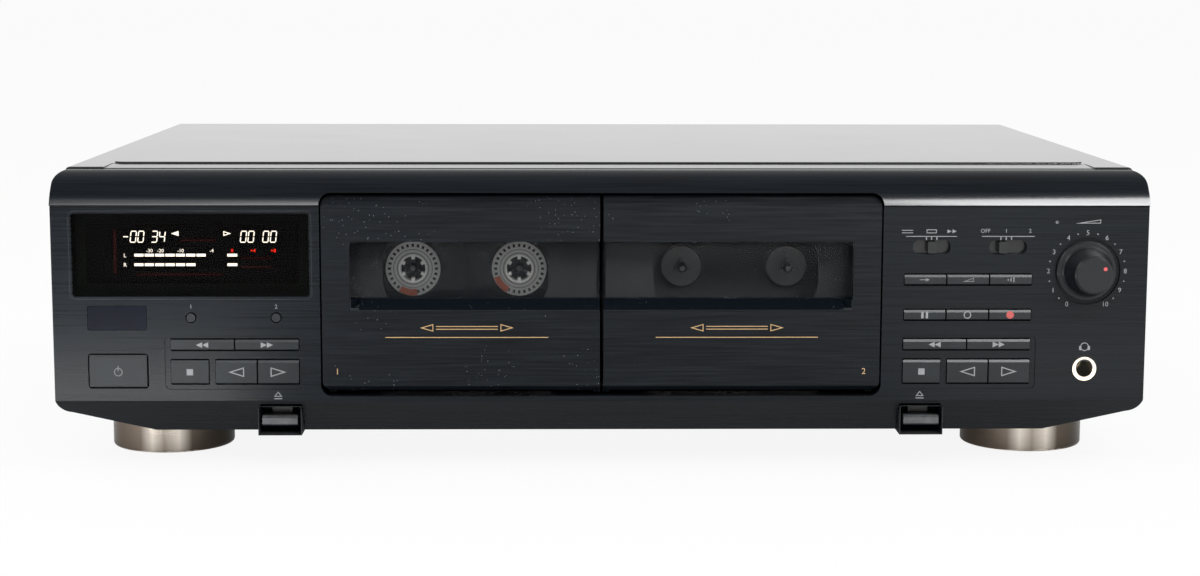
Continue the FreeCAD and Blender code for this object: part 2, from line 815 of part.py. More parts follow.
def make_key(name, left, right, bottom, top):
    """Key cap with a top and bottom flange behind the panel and a stem to its switch."""
    body = new_body(name)
    gap = mm.key_gap
    flange_front = mm.panel_wall + mm.fit_gap
    key_cap(body, (left + gap / 2, right - gap / 2), (bottom + gap, top - gap), -mm.key_out)
    plate(body, (left + gap, right - gap), (flange_front, mm.key_cap_back),
          (bottom - mm.key_flange, top + mm.key_flange))
    rod(body, "Y", ((left + right) / 2, (bottom + top) / 2), mm.key_stem, mm.key_cap_back,
        switch_front - mm.switch_gap - mm.key_travel)
    return body


def make_power_button():
    """Large push button, latched in, with a neck that lets it come out by its travel, and a stem."""
    body = new_body("power_button")
    gap = mm.key_gap
    across = (-mm.power_left + gap, -mm.power_right - gap)
    flange_front = mm.panel_wall + mm.fit_gap + mm.power_travel
    flange_back = mm.key_cap_back + mm.power_travel
    key_cap(body, across, (mm.power_bottom + gap, mm.power_top - gap), -mm.power_out)
    plate(body, across, (mm.key_cap_back - gap, flange_front), (mm.power_bottom + gap, mm.power_top - gap))
    plate(body, across, (flange_front, flange_back),
          (mm.power_bottom - mm.key_flange, mm.power_top + mm.key_flange))
    centre = (-(mm.power_left + mm.power_right) / 2, (mm.power_bottom + mm.power_top) / 2)
    rod(body, "Y", centre, mm.key_stem, flange_back, switch_front - mm.switch_gap + 2)
    return body


def make_reset_button(name, x):
    """Small round counter button with a collar behind the panel."""
    body = new_body(name)
    centre = (x, mm.reset_height)
    collar = mm.reset_hole + mm.key_flange
    flange_front = mm.panel_wall + mm.fit_gap
    turned(body, "Y", centre, [(0, -mm.key_out), (mm.reset_radius, -mm.key_out), (mm.reset_radius, flange_front),
                               (collar, flange_front), (collar, mm.key_cap_back),
                               (mm.key_stem, mm.key_cap_back),
                               (mm.key_stem, switch_front - mm.switch_gap - mm.key_travel),
                               (0, switch_front - mm.switch_gap - mm.key_travel)])
    return body


def make_slider(name, slot, place):
    """Slide switch knob: a nub on a plate that closes the slot from behind."""
    body = new_body(name)
    middle = slot + mm.slider_travel * place
    half = mm.slot_width / 2 + mm.slider_travel + 0.6
    if place:
        half = half + mm.slider_travel
    z = mm.slot_centre_height
    plate(body, (middle - half, middle + half),
          (mm.slider_plate_front, mm.slider_plate_front + mm.slider_plate_sheet),
          (z - mm.slot_height / 2 - mm.slider_cover, z + mm.slot_height / 2 + mm.slider_cover))
    plate(body, (middle - mm.slider_nub / 2, middle + mm.slider_nub / 2), (-mm.slider_out, mm.slider_plate_front),
          (z - mm.slider_nub_height / 2, z + mm.slider_nub_height / 2), as_size(0.5))
    rod(body, "Y", (middle, z), mm.key_stem, mm.slider_plate_front + mm.slider_plate_sheet,
        switch_front - mm.switch_gap)
    return body


def make_level_knob():
    """Turned knob: skirt, stepped body that tapers to a flat cap, and a blind socket."""
    body = new_body("level_knob")
    socket = mm.shaft_radius + mm.pin_play
    front = -mm.knob_out
    edge = mm.knob_edge
    back = mm.knob_well_depth - mm.fit_gap
    skirt_front = -mm.knob_shoulder + 2
    outline = [(socket, back), (mm.knob_skirt, back), (mm.knob_skirt, skirt_front + 0.6),
               (mm.knob_skirt - 0.6, skirt_front), (mm.knob_body + 0.8, skirt_front),
               (mm.knob_body, skirt_front - 0.8), (mm.knob_body, -mm.knob_shoulder - 1.5),
               (mm.knob_cap + edge, front + edge), (mm.knob_cap, front), (0, front),
               (0, front + mm.knob_out - mm.knob_socket_depth), (socket, front + mm.knob_out - mm.knob_socket_depth)]
    turned(body, "Y", (mm.knob_across, mm.knob_height), outline)
    notch = (mm.knob_across + mm.knob_skirt * 0.829, mm.knob_height + mm.knob_skirt * 0.559)
    rod(body, "Y", notch, mm.knob_notch, skirt_front - 1, 0, True)
    return body


def make_level_control():
    """Rotary control: can, threaded bush in the panel hole and plain shaft."""
    body = new_body("level_control")
    x = mm.knob_across
    z = mm.knob_height
    half = mm.control_size / 2
    wall = mm.panel_wall
    plate(body, (x - half, x + half), (wall + 1, mm.board_front), (z - half, z + half), as_size(1))
    rod(body, "Y", (x, z), mm.shaft_bush + 2, wall, wall + 1)
    rod(body, "Y", (x, z), mm.shaft_bush, mm.knob_well_depth + mm.fit_gap, wall)
    rod(body, "Y", (x, z), mm.shaft_radius, -mm.knob_socket_depth + 1, wall)
    return body


def make_phones_jack():
    """Headphone socket: flanged metal bush in the panel and its moulded block behind."""
    body = new_body("phones_jack")
    x = mm.knob_across
    z = mm.socket_height
    half = mm.socket_body / 2
    front = -mm.socket_ring_out
    plate(body, (x - half, x + half), (mm.panel_wall, mm.board_front), (z - half + 1, z + half), as_size(1))
    plate(body, (x - half + 2, x + half - 2), (mm.board_front, front + mm.socket_length + 2),
          (z - half + 2, z + half - 2), as_size(1))
    rod(body, "Y", (x, z), mm.socket_bush, 0, mm.panel_wall)
    rod(body, "Y", (x, z), mm.socket_ring, front, 0)
    rod(body, "Y", (x, z), mm.socket_bore, front - 1, front + mm.socket_length, True)
    return body


def make_eject_lever(name, side):
    """Push tab under the face, with an arm up behind the apron that works the latch."""
    body = new_body(name)
    x = mirror_pair(mm.eject_tab_inner, mm.eject_tab_outer, side)
    tab = [(mm.eject_tab_front + 0.6, mm.eject_tab_bottom), (mm.eject_back, mm.eject_tab_bottom),
           (mm.eject_back, mm.eject_tab_top), (mm.eject_tab_front + 1.2, mm.eject_tab_top),
           (mm.eject_tab_front, mm.eject_tab_top - 0.8), (mm.eject_tab_front, mm.eject_tab_bottom + 0.6)]
    prism(body, "X", tab, x[0], x[1])
    floor = mm.panel_bottom + mm.panel_wall
    plate(body, (x[0] + mm.eject_arm_inset, x[1] - mm.eject_arm_inset),
          (mm.eject_arm_front, mm.eject_back), (floor + mm.fit_gap, mm.eject_arm_top))
    return body


def make_key_boards():
    """Two upright boards behind the keys, with one switch block for each key."""
    body = new_body("key_boards")
    front = mm.board_front
    for side in (-1, 1):
        plate(body, mirror_pair(mm.board_inner, mm.board_outer, side), (front, front + mm.board_sheet),
              (mm.board_bottom, mm.board_top))
    spots = []
    for group in key_groups:
        for name, left, right, bottom, top in group:
            spots.append(((left + right) / 2, (bottom + top) / 2))
    for name, x in resets:
        spots.append((x, mm.reset_height))
    for x, z in spots:
        plate(body, (x - 2.4, x + 2.4), (switch_front, front), (z - 2.4, z + 2.4))
    x = -(mm.power_left + mm.power_right) / 2
    z = (mm.power_bottom + mm.power_top) / 2
    plate(body, (x - 5, x + 5), (switch_front + 2, front), (z - 3.4, z + 2.4))
    for name, slot, place in slots:
        plate(body, (slot - 6, slot + 6), (switch_front, front),
              (mm.slot_centre_height - 2.4, mm.slot_centre_height + 2.4))
    plate(body, (mm.knob_across - 6.5, mm.knob_across + 6.5), (front - 1, front + mm.board_sheet + 1),
          (mm.board_bottom - 1, mm.socket_height + 8), None, True)
    return body


def make_main_board():
    """Main board on four pillars with its larger capacitors and a heat sink."""
    body = new_body("main_board")
    low = mm.main_board_height
    x = (-mm.main_board_left + 60, mm.main_board_right)
    y = (mm.main_board_front, mm.main_board_back)
    board = [(x[0], y[0]), (x[1], y[0]), (x[1], y[1]), (x[0], y[1])]
    prism(body, "Z", board, low, low + mm.board_sheet)
    floor = mm.tray_floor + mm.tray_sheet
    for px in (x[0] + 6, x[1] - 6):
        for py in (y[0] + 6, y[1] - 6):
            rod(body, "Z", (px, py), as_size(3), floor, low)
    for step in range(3):
        rod(body, "Z", (x[0] + 30 + step * 24, y[1] - 30), mm.capacitor_radius, low + mm.board_sheet,
            low + mm.board_sheet + mm.capacitor_height)
    sink = [(x[0] + 110, y[1] - 40), (x[0] + 160, y[1] - 40), (x[0] + 160, y[1] - 36), (x[0] + 110, y[1] - 36)]
    prism(body, "Z", sink, low + mm.board_sheet, low + mm.board_sheet + 36)
    return body


def make_transformer():
    """Laminated core with its coil standing out at both sides."""
    body = new_body("transformer")
    x = -(cover_half - mm.transformer_inset)
    y = mm.transformer_middle
    floor = mm.tray_floor + mm.tray_sheet + 2.8
    plate(body, (x - mm.transformer_width / 2, x + mm.transformer_width / 2),
          (y - mm.transformer_depth / 4, y + mm.transformer_depth / 4), (floor, floor + mm.transformer_height))
    coil = mm.transformer_width / 2 - 12
    plate(body, (x - coil, x + coil), (y - mm.transformer_depth / 2, y + mm.transformer_depth / 2),
          (floor + 9, floor + mm.transformer_height - 9), as_size(4))
    plate(body, (x - mm.transformer_width / 2 - 8, x + mm.transformer_width / 2 + 8),
          (y - mm.transformer_depth / 4, y + mm.transformer_depth / 4),
          (mm.tray_floor + mm.tray_sheet + 2.5, floor))
    return body


cassette_bottom = mm.hub_height - mm.cassette_below_hub
cassette_top = cassette_bottom + mm.cassette_height
cassette_front = mm.cassette_middle - mm.cassette_thickness / 2
cassette_back = mm.cassette_middle + mm.cassette_thickness / 2
nose_front = mm.cassette_middle - mm.nose_thickness / 2
nose_back = mm.cassette_middle + mm.nose_thickness / 2
holder_inner = mm.cassette_width / 2 + mm.holder_side_room
holder_outer = holder_inner + mm.holder_sheet
ear_inner = holder_outer + mm.fit_gap


def make_door(name, side):
    """Door skin with a folded-back top, a bevelled lower edge, side returns and four posts."""
    body = new_body(name)
    skin = mm.door_skin
    section = [(0, mm.door_bottom + mm.door_bevel), (0, mm.door_fold), (mm.door_lean, mm.door_top),
               (mm.door_lean + skin, mm.door_top), (mm.door_lean + skin, mm.door_top - 1.2),
               (skin, mm.door_fold - 1), (skin, mm.door_bottom), (mm.door_bevel, mm.door_bottom)]
    x = mirror_pair(mm.door_centre_gap, mm.door_opening_half - mm.door_gap, side)
    prism(body, "X", section, x[0], x[1])
    returns = [(skin - 0.1, mm.hinge_height + 5), (skin - 0.1, mm.door_fold - 1),
               (mm.door_return, mm.door_fold - 1), (mm.door_return, mm.hinge_height + 8)]
    outer = mirror_pair(mm.door_opening_half - mm.door_gap - 1.5, mm.door_opening_half - mm.door_gap, side)
    prism(body, "X", returns, outer[0], outer[1])
    sketch = sketch_across(body, "Y", -3)
    reach = mm.door_opening_half - mm.door_gap
    corner = mm.door_opening_corner - mm.door_gap
    tail = corner + 3
    near = corner * 0.292893
    for edge, turn in ((mm.door_bottom, 1), (mm.door_top, -1)):
        draw_loop(sketch, [(reach * side, edge + corner * turn, (reach - near) * side, edge + near * turn),
                           ((reach - corner) * side, edge), ((reach - corner) * side, edge - tail * turn),
                           ((reach + 3) * side, edge - tail * turn), ((reach + 3) * side, edge + corner * turn)])
    extrude(body, sketch, "Y", 20, True)
    opening = mirror_pair(mm.door_centre_gap - 2, mm.window_half, side)
    plate(body, opening, (-2, mm.door_return + 4), (mm.window_bottom, mm.window_top), None, True)
    for place in (-1, 1):
        for height in (mm.door_post_low, mm.door_post_high):
            rod(body, "Y", (mm.deck_centre * side + mm.door_post_across * place, height), mm.door_post,
                skin - 0.2, mm.holder_front)
    return body


def make_door_window(name, side):
    """Smoked tray: three sloped walls round a sunk floor, with a raised block at the inner end."""
    body = new_body(name)
    gap = as_size(0.1)
    deep = mm.window_depth
    wall = mm.window_wall
    inner = mm.door_centre_gap + gap
    low = mm.window_bottom + gap
    high = mm.window_top - gap
    section = [(0, low), (0, high), (deep + wall, mm.window_floor_top + 1.4), (deep + wall, mm.window_floor_bottom - 1.4)]
    x = mirror_pair(inner, mm.window_half - gap, side)
    prism(body, "X", section, x[0], x[1])
    hollow = [(-1, low - 0.5), (-1, high + 0.3), (deep, mm.window_floor_top), (deep, mm.window_floor_bottom)]
    x = mirror_pair(inner - 1, mm.window_floor_half, side)
    prism(body, "X", hollow, x[0], x[1], True)
    x = mirror_pair(mm.window_floor_half, mm.window_half + 2, side)
    slope = [(mm.window_floor_half * side, deep), (mm.window_half * side - 0.4 * side, -0.1),
             (mm.window_floor_half * side, -0.1)]
    prism(body, "Z", slope, low + 1, high - 1, True)
    x = mirror_pair(inner, inner + mm.window_block, side)
    margin = mm.window_block_margin
    plate(body, x, (deep - mm.window_block_rise, deep + 0.1),
          (mm.window_floor_bottom + margin, mm.window_floor_top - margin))
    return body


def make_holder(name, side):
    """Cassette holder: windowed front plate, two sides with lips, corner ledges and hinge arms."""
    body = new_body(name)
    centre = mm.deck_centre * side
    sheet_metal = mm.holder_sheet
    front = mm.holder_front
    plate(body, (centre - holder_outer, centre + holder_outer), (front, front + sheet_metal),
          (cassette_bottom - sheet_metal, mm.holder_top))
    half = mm.holder_window_half
    plate(body, (centre - half, centre + half), (front - 1, front + sheet_metal + 1),
          (mm.holder_window_bottom, mm.holder_window_top), as_size(13), True)
    for end in (-1, 1):
        wall_x = (centre + holder_inner, centre + holder_outer)
        ledge_x = (centre + holder_inner - mm.holder_ledge, centre + holder_inner + 0.2)
        lip_x = (centre + holder_inner - mm.holder_lip, centre + holder_inner + 0.2)
        pin_x = (centre + holder_outer - 0.2, centre + ear_inner + mm.ear_sheet)
        if end < 0:
            wall_x = (centre - holder_outer, centre - holder_inner)
            ledge_x = (centre - holder_inner - 0.2, centre - holder_inner + mm.holder_ledge)
            lip_x = (centre - holder_inner - 0.2, centre - holder_inner + mm.holder_lip)
            pin_x = (centre - ear_inner - mm.ear_sheet, centre - holder_outer + 0.2)
        reach = mm.holder_arm
        y = mm.hinge_depth
        z = mm.hinge_height
        arm = [(y, z - reach), (front + 2, cassette_bottom - 8), (mm.holder_back, cassette_bottom - 4),
               (mm.holder_back, mm.holder_top - 6), (mm.holder_back - 6, mm.holder_top),
               (front, mm.holder_top), (front, cassette_bottom + 6), (y - 1, z + reach - 0.2, y - reach, z)]
        prism(body, "X", arm, wall_x[0], wall_x[1])
        plate(body, ledge_x, (front, mm.holder_back), (cassette_bottom - sheet_metal, cassette_bottom))
        plate(body, lip_x, (cassette_back + mm.fit_gap, cassette_back + mm.fit_gap + sheet_metal),
              (mm.holder_lip_bottom, mm.holder_top - 8))
        rod(body, "X", (y, z), mm.hinge_pin, pin_x[0], pin_x[1])
    return body


def make_deck_plate(name, side):
    """Mechanism plate with bearings, hinge ears, a foot and the drive motor."""
    body = new_body(name)
    centre = mm.deck_centre * side
    front = mm.deck_plate_front
    back = front + mm.deck_plate_sheet
    half = mm.deck_plate_half
    floor = mm.tray_floor + mm.tray_sheet
    plate(body, (centre - half, centre + half), (front, back), (floor, mm.deck_plate_top), as_size(2))
    plate(body, (centre - half, centre + half), (front, mm.deck_foot_depth), (floor, floor + 1.5))
    for end in (-1, 1):
        hub_x = centre + mm.hub_spacing / 2 * end
        rod(body, "Y", (hub_x, mm.hub_height), mm.reel_axle + mm.pin_play, front - 1, back + 1, True)
        capstan_x = centre + mm.capstan_across * end
        rod(body, "Y", (capstan_x, mm.capstan_height), mm.bearing_radius, back - 0.2, mm.bearing_back)
        rod(body, "Y", (capstan_x, mm.capstan_height), mm.capstan_radius + mm.pin_play, front - 1,
            mm.bearing_back + 1, True)
        ear_x = (centre + ear_inner, centre + ear_inner + mm.ear_sheet)
        if end < 0:
            ear_x = (centre - ear_inner - mm.ear_sheet, centre - ear_inner)
        y = mm.hinge_depth
        z = mm.hinge_height
        reach = mm.holder_arm
        ear = [(y, z - reach), (front + 0.2, z - reach), (front + 0.2, z + reach + 12), (front - 6, z + reach + 6),
               (y, z + reach, y - reach, z)]
        prism(body, "X", ear, ear_x[0], ear_x[1])
        rod(body, "X", (y, z), mm.hinge_pin + mm.pin_play, ear_x[0] - 0.3, ear_x[1] + 0.3, True)
    motor = (centre, mm.motor_height)
    rod(body, "Y", motor, mm.motor_radius, back - 0.1, back + mm.motor_length)
    rod(body, "Y", motor, as_size(4), back + mm.motor_length, back + mm.motor_length + 3)
    return body


def make_reel_spindle(name, x):
    """Reel table with three drive fins on a slim core, an axle and a gear behind the plate."""
    body = new_body(name)
    centre = (x, mm.hub_height)
    core = mm.spindle_core
    tip = mm.spindle_tip_depth
    table_front = mm.reel_table_front
    gear_back = mm.reel_gear_front + mm.reel_gear_sheet
    turned(body, "Y", centre, [(0, tip), (core - 0.9, tip), (core, tip + 1.6), (core, table_front),
                               (mm.reel_table - 0.5, table_front), (mm.reel_table, table_front + 0.5),
                               (mm.reel_table, mm.reel_table_back), (mm.reel_axle, mm.reel_table_back),
                               (mm.reel_axle, mm.reel_gear_front), (mm.reel_gear, mm.reel_gear_front),
                               (mm.reel_gear, gear_back), (0, gear_back)])
    half = mm.spindle_fin_width / 2
    z = mm.hub_height
    fin = plate(body, (x - half, x + half), (mm.spindle_fin_front, table_front + 0.1),
                (z, z + mm.spindle_fin))
    spin_copies(body, fin, mm_count("spindle_fins"), centre)
    return body


def mm_count(name):
    return int(SIZES[name])


def make_capstan(name, x):
    """Capstan shaft pressed into its flywheel."""
    body = new_body(name)
    front = mm.flywheel_front
    back = front + mm.flywheel_sheet
    shaft = mm.capstan_radius
    turned(body, "Y", (x, mm.capstan_height),
           [(0, mm.capstan_front), (shaft - 0.3, mm.capstan_front), (shaft, mm.capstan_front + 0.3),
            (shaft, mm.bearing_back + mm.fit_gap), (mm.flywheel_hub, mm.bearing_back + mm.fit_gap),
            (mm.flywheel_hub, front), (mm.flywheel_radius, front), (mm.flywheel_radius, front + 1.5),
            (mm.flywheel_radius - 0.8, front + 2), (mm.flywheel_radius - 0.8, back - 2),
            (mm.flywheel_radius, back - 1.5), (mm.flywheel_radius, back), (0, back)])
    return body


def make_head_block(name, side):
    """Sliding carrier with the tape head, its guide and two pinch rollers."""
    body = new_body(name)
    centre = mm.deck_centre * side
    front = mm.head_carrier_front
    half = mm.head_carrier_half
    plate(body, (centre - half, centre + half), (front, front + mm.head_carrier_sheet),
          (mm.head_carrier_bottom, mm.head_carrier_top))
    arm_bottom = mm.head_carrier_top - 3.5
    arm_top = mm.head_carrier_top
    base = mm.head_half + 4
    plate(body, (centre - base, centre + base), (mm.head_front, front + 0.1), (arm_bottom, arm_top))
    plate(body, (centre - mm.head_half, centre + mm.head_half), (mm.head_front, mm.head_back),
          (arm_top - 0.1, mm.head_top), as_size(1.5))
    for end in (-1, 1):
        x = centre + mm.capstan_across * end
        roller_z = mm.capstan_height - mm.capstan_radius - mm.fit_gap - mm.pinch_radius - mm.head_travel
        plate(body, (x - 3, x + 3), (mm.head_back - 0.1, front + 0.1), (arm_bottom - 2, arm_top))
        rod(body, "Y", (x, roller_z), mm.pinch_radius, mm.head_front, mm.head_back)
    return body


def make_cassette_shell():
    """Clear cassette shell: thin body, thick nose, hub holes, reel space and an open tape edge."""
    body = new_body("cassette_shell")
    centre = -mm.deck_centre
    half = mm.cassette_width / 2
    wall = mm.cassette_wall
    plate(body, (centre - half, centre + half), (cassette_front, cassette_back),
          (cassette_bottom, cassette_top), mm.cassette_corner)
    wide = mm.nose_half
    narrow = mm.nose_half - mm.nose_taper
    nose_top = cassette_bottom + mm.nose_height
    nose = [(centre - wide, cassette_bottom), (centre + wide, cassette_bottom), (centre + narrow, nose_top),
            (centre - narrow, nose_top)]
    prism(body, "Y", nose, nose_front, nose_back)
    inside = (cassette_front + wall, cassette_back - wall)
    plate(body, (centre - half + wall, centre + half - wall), inside,
          (cassette_bottom + mm.nose_height - 4, cassette_top - wall), None, True)
    plate(body, (centre - 37, centre + 37), inside, (cassette_bottom - 1, cassette_bottom + mm.nose_height - 5),
          None, True)
    for end in (-1, 1):
        x = centre + mm.hub_spacing / 2 * end
        rod(body, "Y", (x, mm.hub_height), mm.hub_hole, cassette_front - 1, cassette_back + 1, True)
        x = centre + mm.capstan_across * end
        plate(body, (x - 2.6, x + 2.6), (cassette_back - wall - 0.5, nose_back + 1),
              (cassette_bottom - 1, mm.capstan_height + 2.6), None, True)
    return body


def make_tape_hub(name, x, pack):
    """White toothed hub with the tape wound on it."""
    body = new_body(name)
    front = cassette_front + mm.cassette_wall + mm.fit_gap
    back = cassette_back - mm.cassette_wall - mm.fit_gap
    z = mm.hub_height
    turned(body, "Y", (x, z), [(mm.hub_bore, front), (mm.hub_radius, front), (mm.hub_radius, front + 1),
                               (pack, front + 1), (pack, front + 4.8), (mm.hub_radius, front + 4.8),
                               (mm.hub_radius, back), (mm.hub_bore, back)])
    half = mm.hub_tooth_width / 2
    tooth = plate(body, (x - half, x + half), (front + 0.6, front + 3.6),
                  (z - mm.hub_bore - 0.4, z - mm.hub_bore + mm.hub_tooth_height))
    spin_copies(body, tooth, mm_count("hub_teeth"), (x, z))
    return body


make_front_panel()
make_top_cover()
make_chassis_tray()
make_rear_panel()
make_line_jacks()
make_cord_gland()
make_feet()
make_display_window()
make_display_tube()
make_remote_window()
make_power_button()
for name, x in resets:
    make_reset_button(name, x)
for group in key_groups:
    for key in group:
        make_key(*key)
for name, slot, place in slots:
    make_slider(name, slot, place)
make_level_knob()
make_level_control()
make_phones_jack()
make_key_boards()
make_main_board()
make_transformer()
for deck, side in (("a", -1), ("b", 1)):
    make_eject_lever(f"eject_lever_{deck}", side)
    make_door(f"cassette_door_{deck}", side)
    make_door_window(f"door_window_{deck}", side)
    make_holder(f"cassette_holder_{deck}", side)
    make_deck_plate(f"deck_plate_{deck}", side)
    make_head_block(f"head_block_{deck}", side)
    for place, end in (("left", -1), ("right", 1)):
        centre = mm.deck_centre * side
        make_reel_spindle(f"reel_spindle_{deck}_{place}", centre + mm.hub_spacing / 2 * end)
        make_capstan(f"capstan_{deck}_{place}", centre + mm.capstan_across * end)
make_cassette_shell()
make_tape_hub("tape_hub_left", -mm.deck_centre - mm.hub_spacing / 2, mm.full_pack)
make_tape_hub("tape_hub_right", -mm.deck_centre + mm.hub_spacing / 2, mm.small_pack)

doc.recompute()
faults = []
for item in doc.Objects:
    if "Invalid" in item.State or "Error" in item.State:
        faults.append(f"{item.Name}: {item.State}")
for item in doc.Objects:
    if item.TypeId == "PartDesign::Pocket" and item.BaseFeature is not None and not item.Shape.isNull():
        if item.Shape.Volume >= item.BaseFeature.Shape.Volume - 1e-6:
            faults.append(f"{item.Name}: cuts nothing")
for body in nodes:
    if body.Shape.isNull() or not body.Shape.isValid() or body.Shape.Volume <= 0:
        faults.append(f"{body.Name}: shape is not valid")
if faults:
    raise RuntimeError("\n".join(faults))

os.makedirs("parts", exist_ok=True)
for body in nodes:
    body.Shape.exportStep(f"parts/{body.Label}.step")
print(len(nodes), "nodes,", sum(len(body.Shape.Solids) for body in nodes), "solids")
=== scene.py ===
# %% [markdown]
# # A double cassette deck, dressed over its CAD frame
# The frame holds every solid of the deck in its true place, in metres. This script gives each solid
# the finish of the real part, adds what is printed, lit or screwed on, and sets up a small studio.
# Places come from the frame's own boxes where they can, and are measured on the front face otherwise.

# %% Load the frame and keep its box
import math
import bmesh
import bpy
from mathutils import Matrix, Vector


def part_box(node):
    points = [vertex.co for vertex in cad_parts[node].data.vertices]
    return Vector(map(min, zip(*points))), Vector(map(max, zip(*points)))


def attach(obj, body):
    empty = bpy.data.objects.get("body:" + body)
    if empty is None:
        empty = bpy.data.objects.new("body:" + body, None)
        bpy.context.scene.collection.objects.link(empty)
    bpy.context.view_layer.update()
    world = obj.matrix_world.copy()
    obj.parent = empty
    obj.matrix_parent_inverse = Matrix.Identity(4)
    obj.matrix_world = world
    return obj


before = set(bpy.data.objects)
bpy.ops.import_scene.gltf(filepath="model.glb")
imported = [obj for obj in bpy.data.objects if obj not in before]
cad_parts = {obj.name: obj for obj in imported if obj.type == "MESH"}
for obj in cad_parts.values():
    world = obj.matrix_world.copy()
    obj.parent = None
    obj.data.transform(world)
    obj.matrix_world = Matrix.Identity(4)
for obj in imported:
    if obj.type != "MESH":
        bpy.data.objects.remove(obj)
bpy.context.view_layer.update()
scene = bpy.context.scene
scene.view_settings.view_transform = "Standard"

# %% [markdown]
# ## One way to say where things are
# A maker's drawing of a deck is measured on its flat front face: so far across from the middle, so
# far up from the table, so deep behind the face. The same three numbers in millimetres are used here,
# and one function turns them into Blender's metres. The doors are flush with the face, so the front
# of a door gives its place.

# %% Places measured on the front face
MM = 0.001
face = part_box("cassette_door_a")[0].y


def point(across, deep, up):
    """A place in Blender's metres, from millimetres across, behind the face and up from the table."""
    return Vector((across * MM, face + deep * MM, up * MM))


def middle(node):
    """Millimetres across, deep and up of the middle of a node's front."""
    low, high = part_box(node)
    return (low.x + high.x) / 2 / MM, (low.y - face) / MM, (low.z + high.z) / 2 / MM


print("face at", round(face, 4), "knob middle", [round(v, 1) for v in middle("level_knob")])

# %% [markdown]
# ## The camera
# The photograph was taken from a little over the deck's top, 0.88 m in front of the face and nearly on
# its middle line. Standing, looking down and turning are three plain rotations, so the camera is the
# product of a move and those turns. The lens is given by how many pixels wide one radian looks.

# %% Camera at the photograph's angle
photo_width = 1200
focal_pixels = 2269.8
seen_from = (-17.0, -882.7, 194.6)
eye = point(*seen_from)
look_down, turn_right, tilt = 7.766, 1.058, 0.126
camera_data = bpy.data.cameras.new("camera")
camera_data.sensor_width = 36
camera_data.lens = 36 * focal_pixels / photo_width
camera = bpy.data.objects.new("camera", camera_data)
scene.collection.objects.link(camera)
turned = Matrix.Rotation(math.radians(-turn_right), 4, "Z")
raised = Matrix.Rotation(math.radians(90 - look_down), 4, "X")
tilted = Matrix.Rotation(math.radians(tilt), 4, "Z")
camera.matrix_world = Matrix.Translation(eye) @ turned @ raised @ tilted
scene.camera = camera
print("lens", round(camera_data.lens, 1), "mm")

# %% [markdown]
# ## Colours and nodes
# Every colour is written as the sRGB hex value that a colour picker shows. Blender's shaders work in
# linear light, so one function does the change. One more adds a node with its settings and links,
# which keeps a material readable as a short list of nodes. Sums, colour blends and coordinates come
# up so often that each has a name of its own.

# %% Helpers for colours and nodes
def linear(code):
    """The linear colour of an sRGB hex value such as 2b2e33."""
    parts = [int(code[i:i + 2], 16) / 255 for i in (0, 2, 4)]
    return [p / 12.92 if p <= 0.04045 else ((p + 0.055) / 1.055) ** 2.4 for p in parts] + [1.0]


def add(tree, kind, settings=(), links=()):
    """Adds one node with its settings and links, and gives it back."""
    node = tree.nodes.new(kind)
    for name, value in dict(settings).items():
        if isinstance(name, int) or name in node.inputs:
            node.inputs[name].default_value = value
        else:
            setattr(node, name, value)
    for socket, source in dict(links).items():
        tree.links.new(source, node.inputs[socket])
    return node


def give(tree, socket, value):
    """Links a socket to another socket, or sets it to a plain value."""
    if isinstance(value, bpy.types.NodeSocket):
        tree.links.new(value, socket)
    elif value is not None:
        socket.default_value = value


def maths(tree, operation, first, second=None):
    """The outcome of a sum, a product or a comparison."""
    node = add(tree, "ShaderNodeMath", {"operation": operation})
    give(tree, node.inputs[0], first)
    give(tree, node.inputs[1], second)
    return node.outputs[0]


def blend(tree, share, first, second):
    """A colour between two colours, by a share from 0 to 1."""
    node = add(tree, "ShaderNodeMix", {"data_type": "RGBA"})
    for index, value in ((0, share), (6, first), (7, second)):
        give(tree, node.inputs[index], value)
    return node.outputs[2]


def place_of(tree, axis=None):
    """The object's own coordinates, or one of the three."""
    place = add(tree, "ShaderNodeTexCoord").outputs["Object"]
    if axis is None:
        return place
    return add(tree, "ShaderNodeSeparateXYZ", links={0: place}).outputs[axis]


def surface(name, colour, roughness, metallic=0.0, **more):
    """A material whose Principled shader has its plain values, with its node tree and shader."""
    material = bpy.data.materials.new(name)
    material.use_nodes = True
    shader = material.node_tree.nodes["Principled BSDF"]
    shader.inputs["Base Color"].default_value = linear(colour)
    shader.inputs["Roughness"].default_value = roughness
    shader.inputs["Metallic"].default_value = metallic
    for socket, value in more.items():
        shader.inputs[socket.replace("_", " ")].default_value = value
    return material, material.node_tree, shader


print("white is", linear("ffffff"), "and mid grey", [round(v, 3) for v in linear("808080")])

# %% [markdown]
# ## The studio
# The photograph shows the deck on pure white with no edge to the table. So floor and surroundings
# show white to the camera and in reflections, while two soft boxes and a plain sky light the deck
# itself at a level where a colour comes out as it is written. The ceiling is dark in reflections, so
# the brow stays black on top. Two long boxes up in front give the bright line on the lip of the brow,
# which leans back towards them. Low boxes that only shine in reflections add the sheen of the face.

# %% Surroundings
def white_for_looks(tree, mirrored):
    """1 for rays of the camera and of glass, mirrored for rays of a mirror, 0 for light on the deck."""
    path = add(tree, "ShaderNodeLightPath")
    through = maths(tree, "MAXIMUM", path.outputs["Is Camera Ray"], path.outputs["Is Transmission Ray"])
    shiny = maths(tree, "MULTIPLY", path.outputs["Is Glossy Ray"], mirrored)
    return maths(tree, "MAXIMUM", through, shiny)


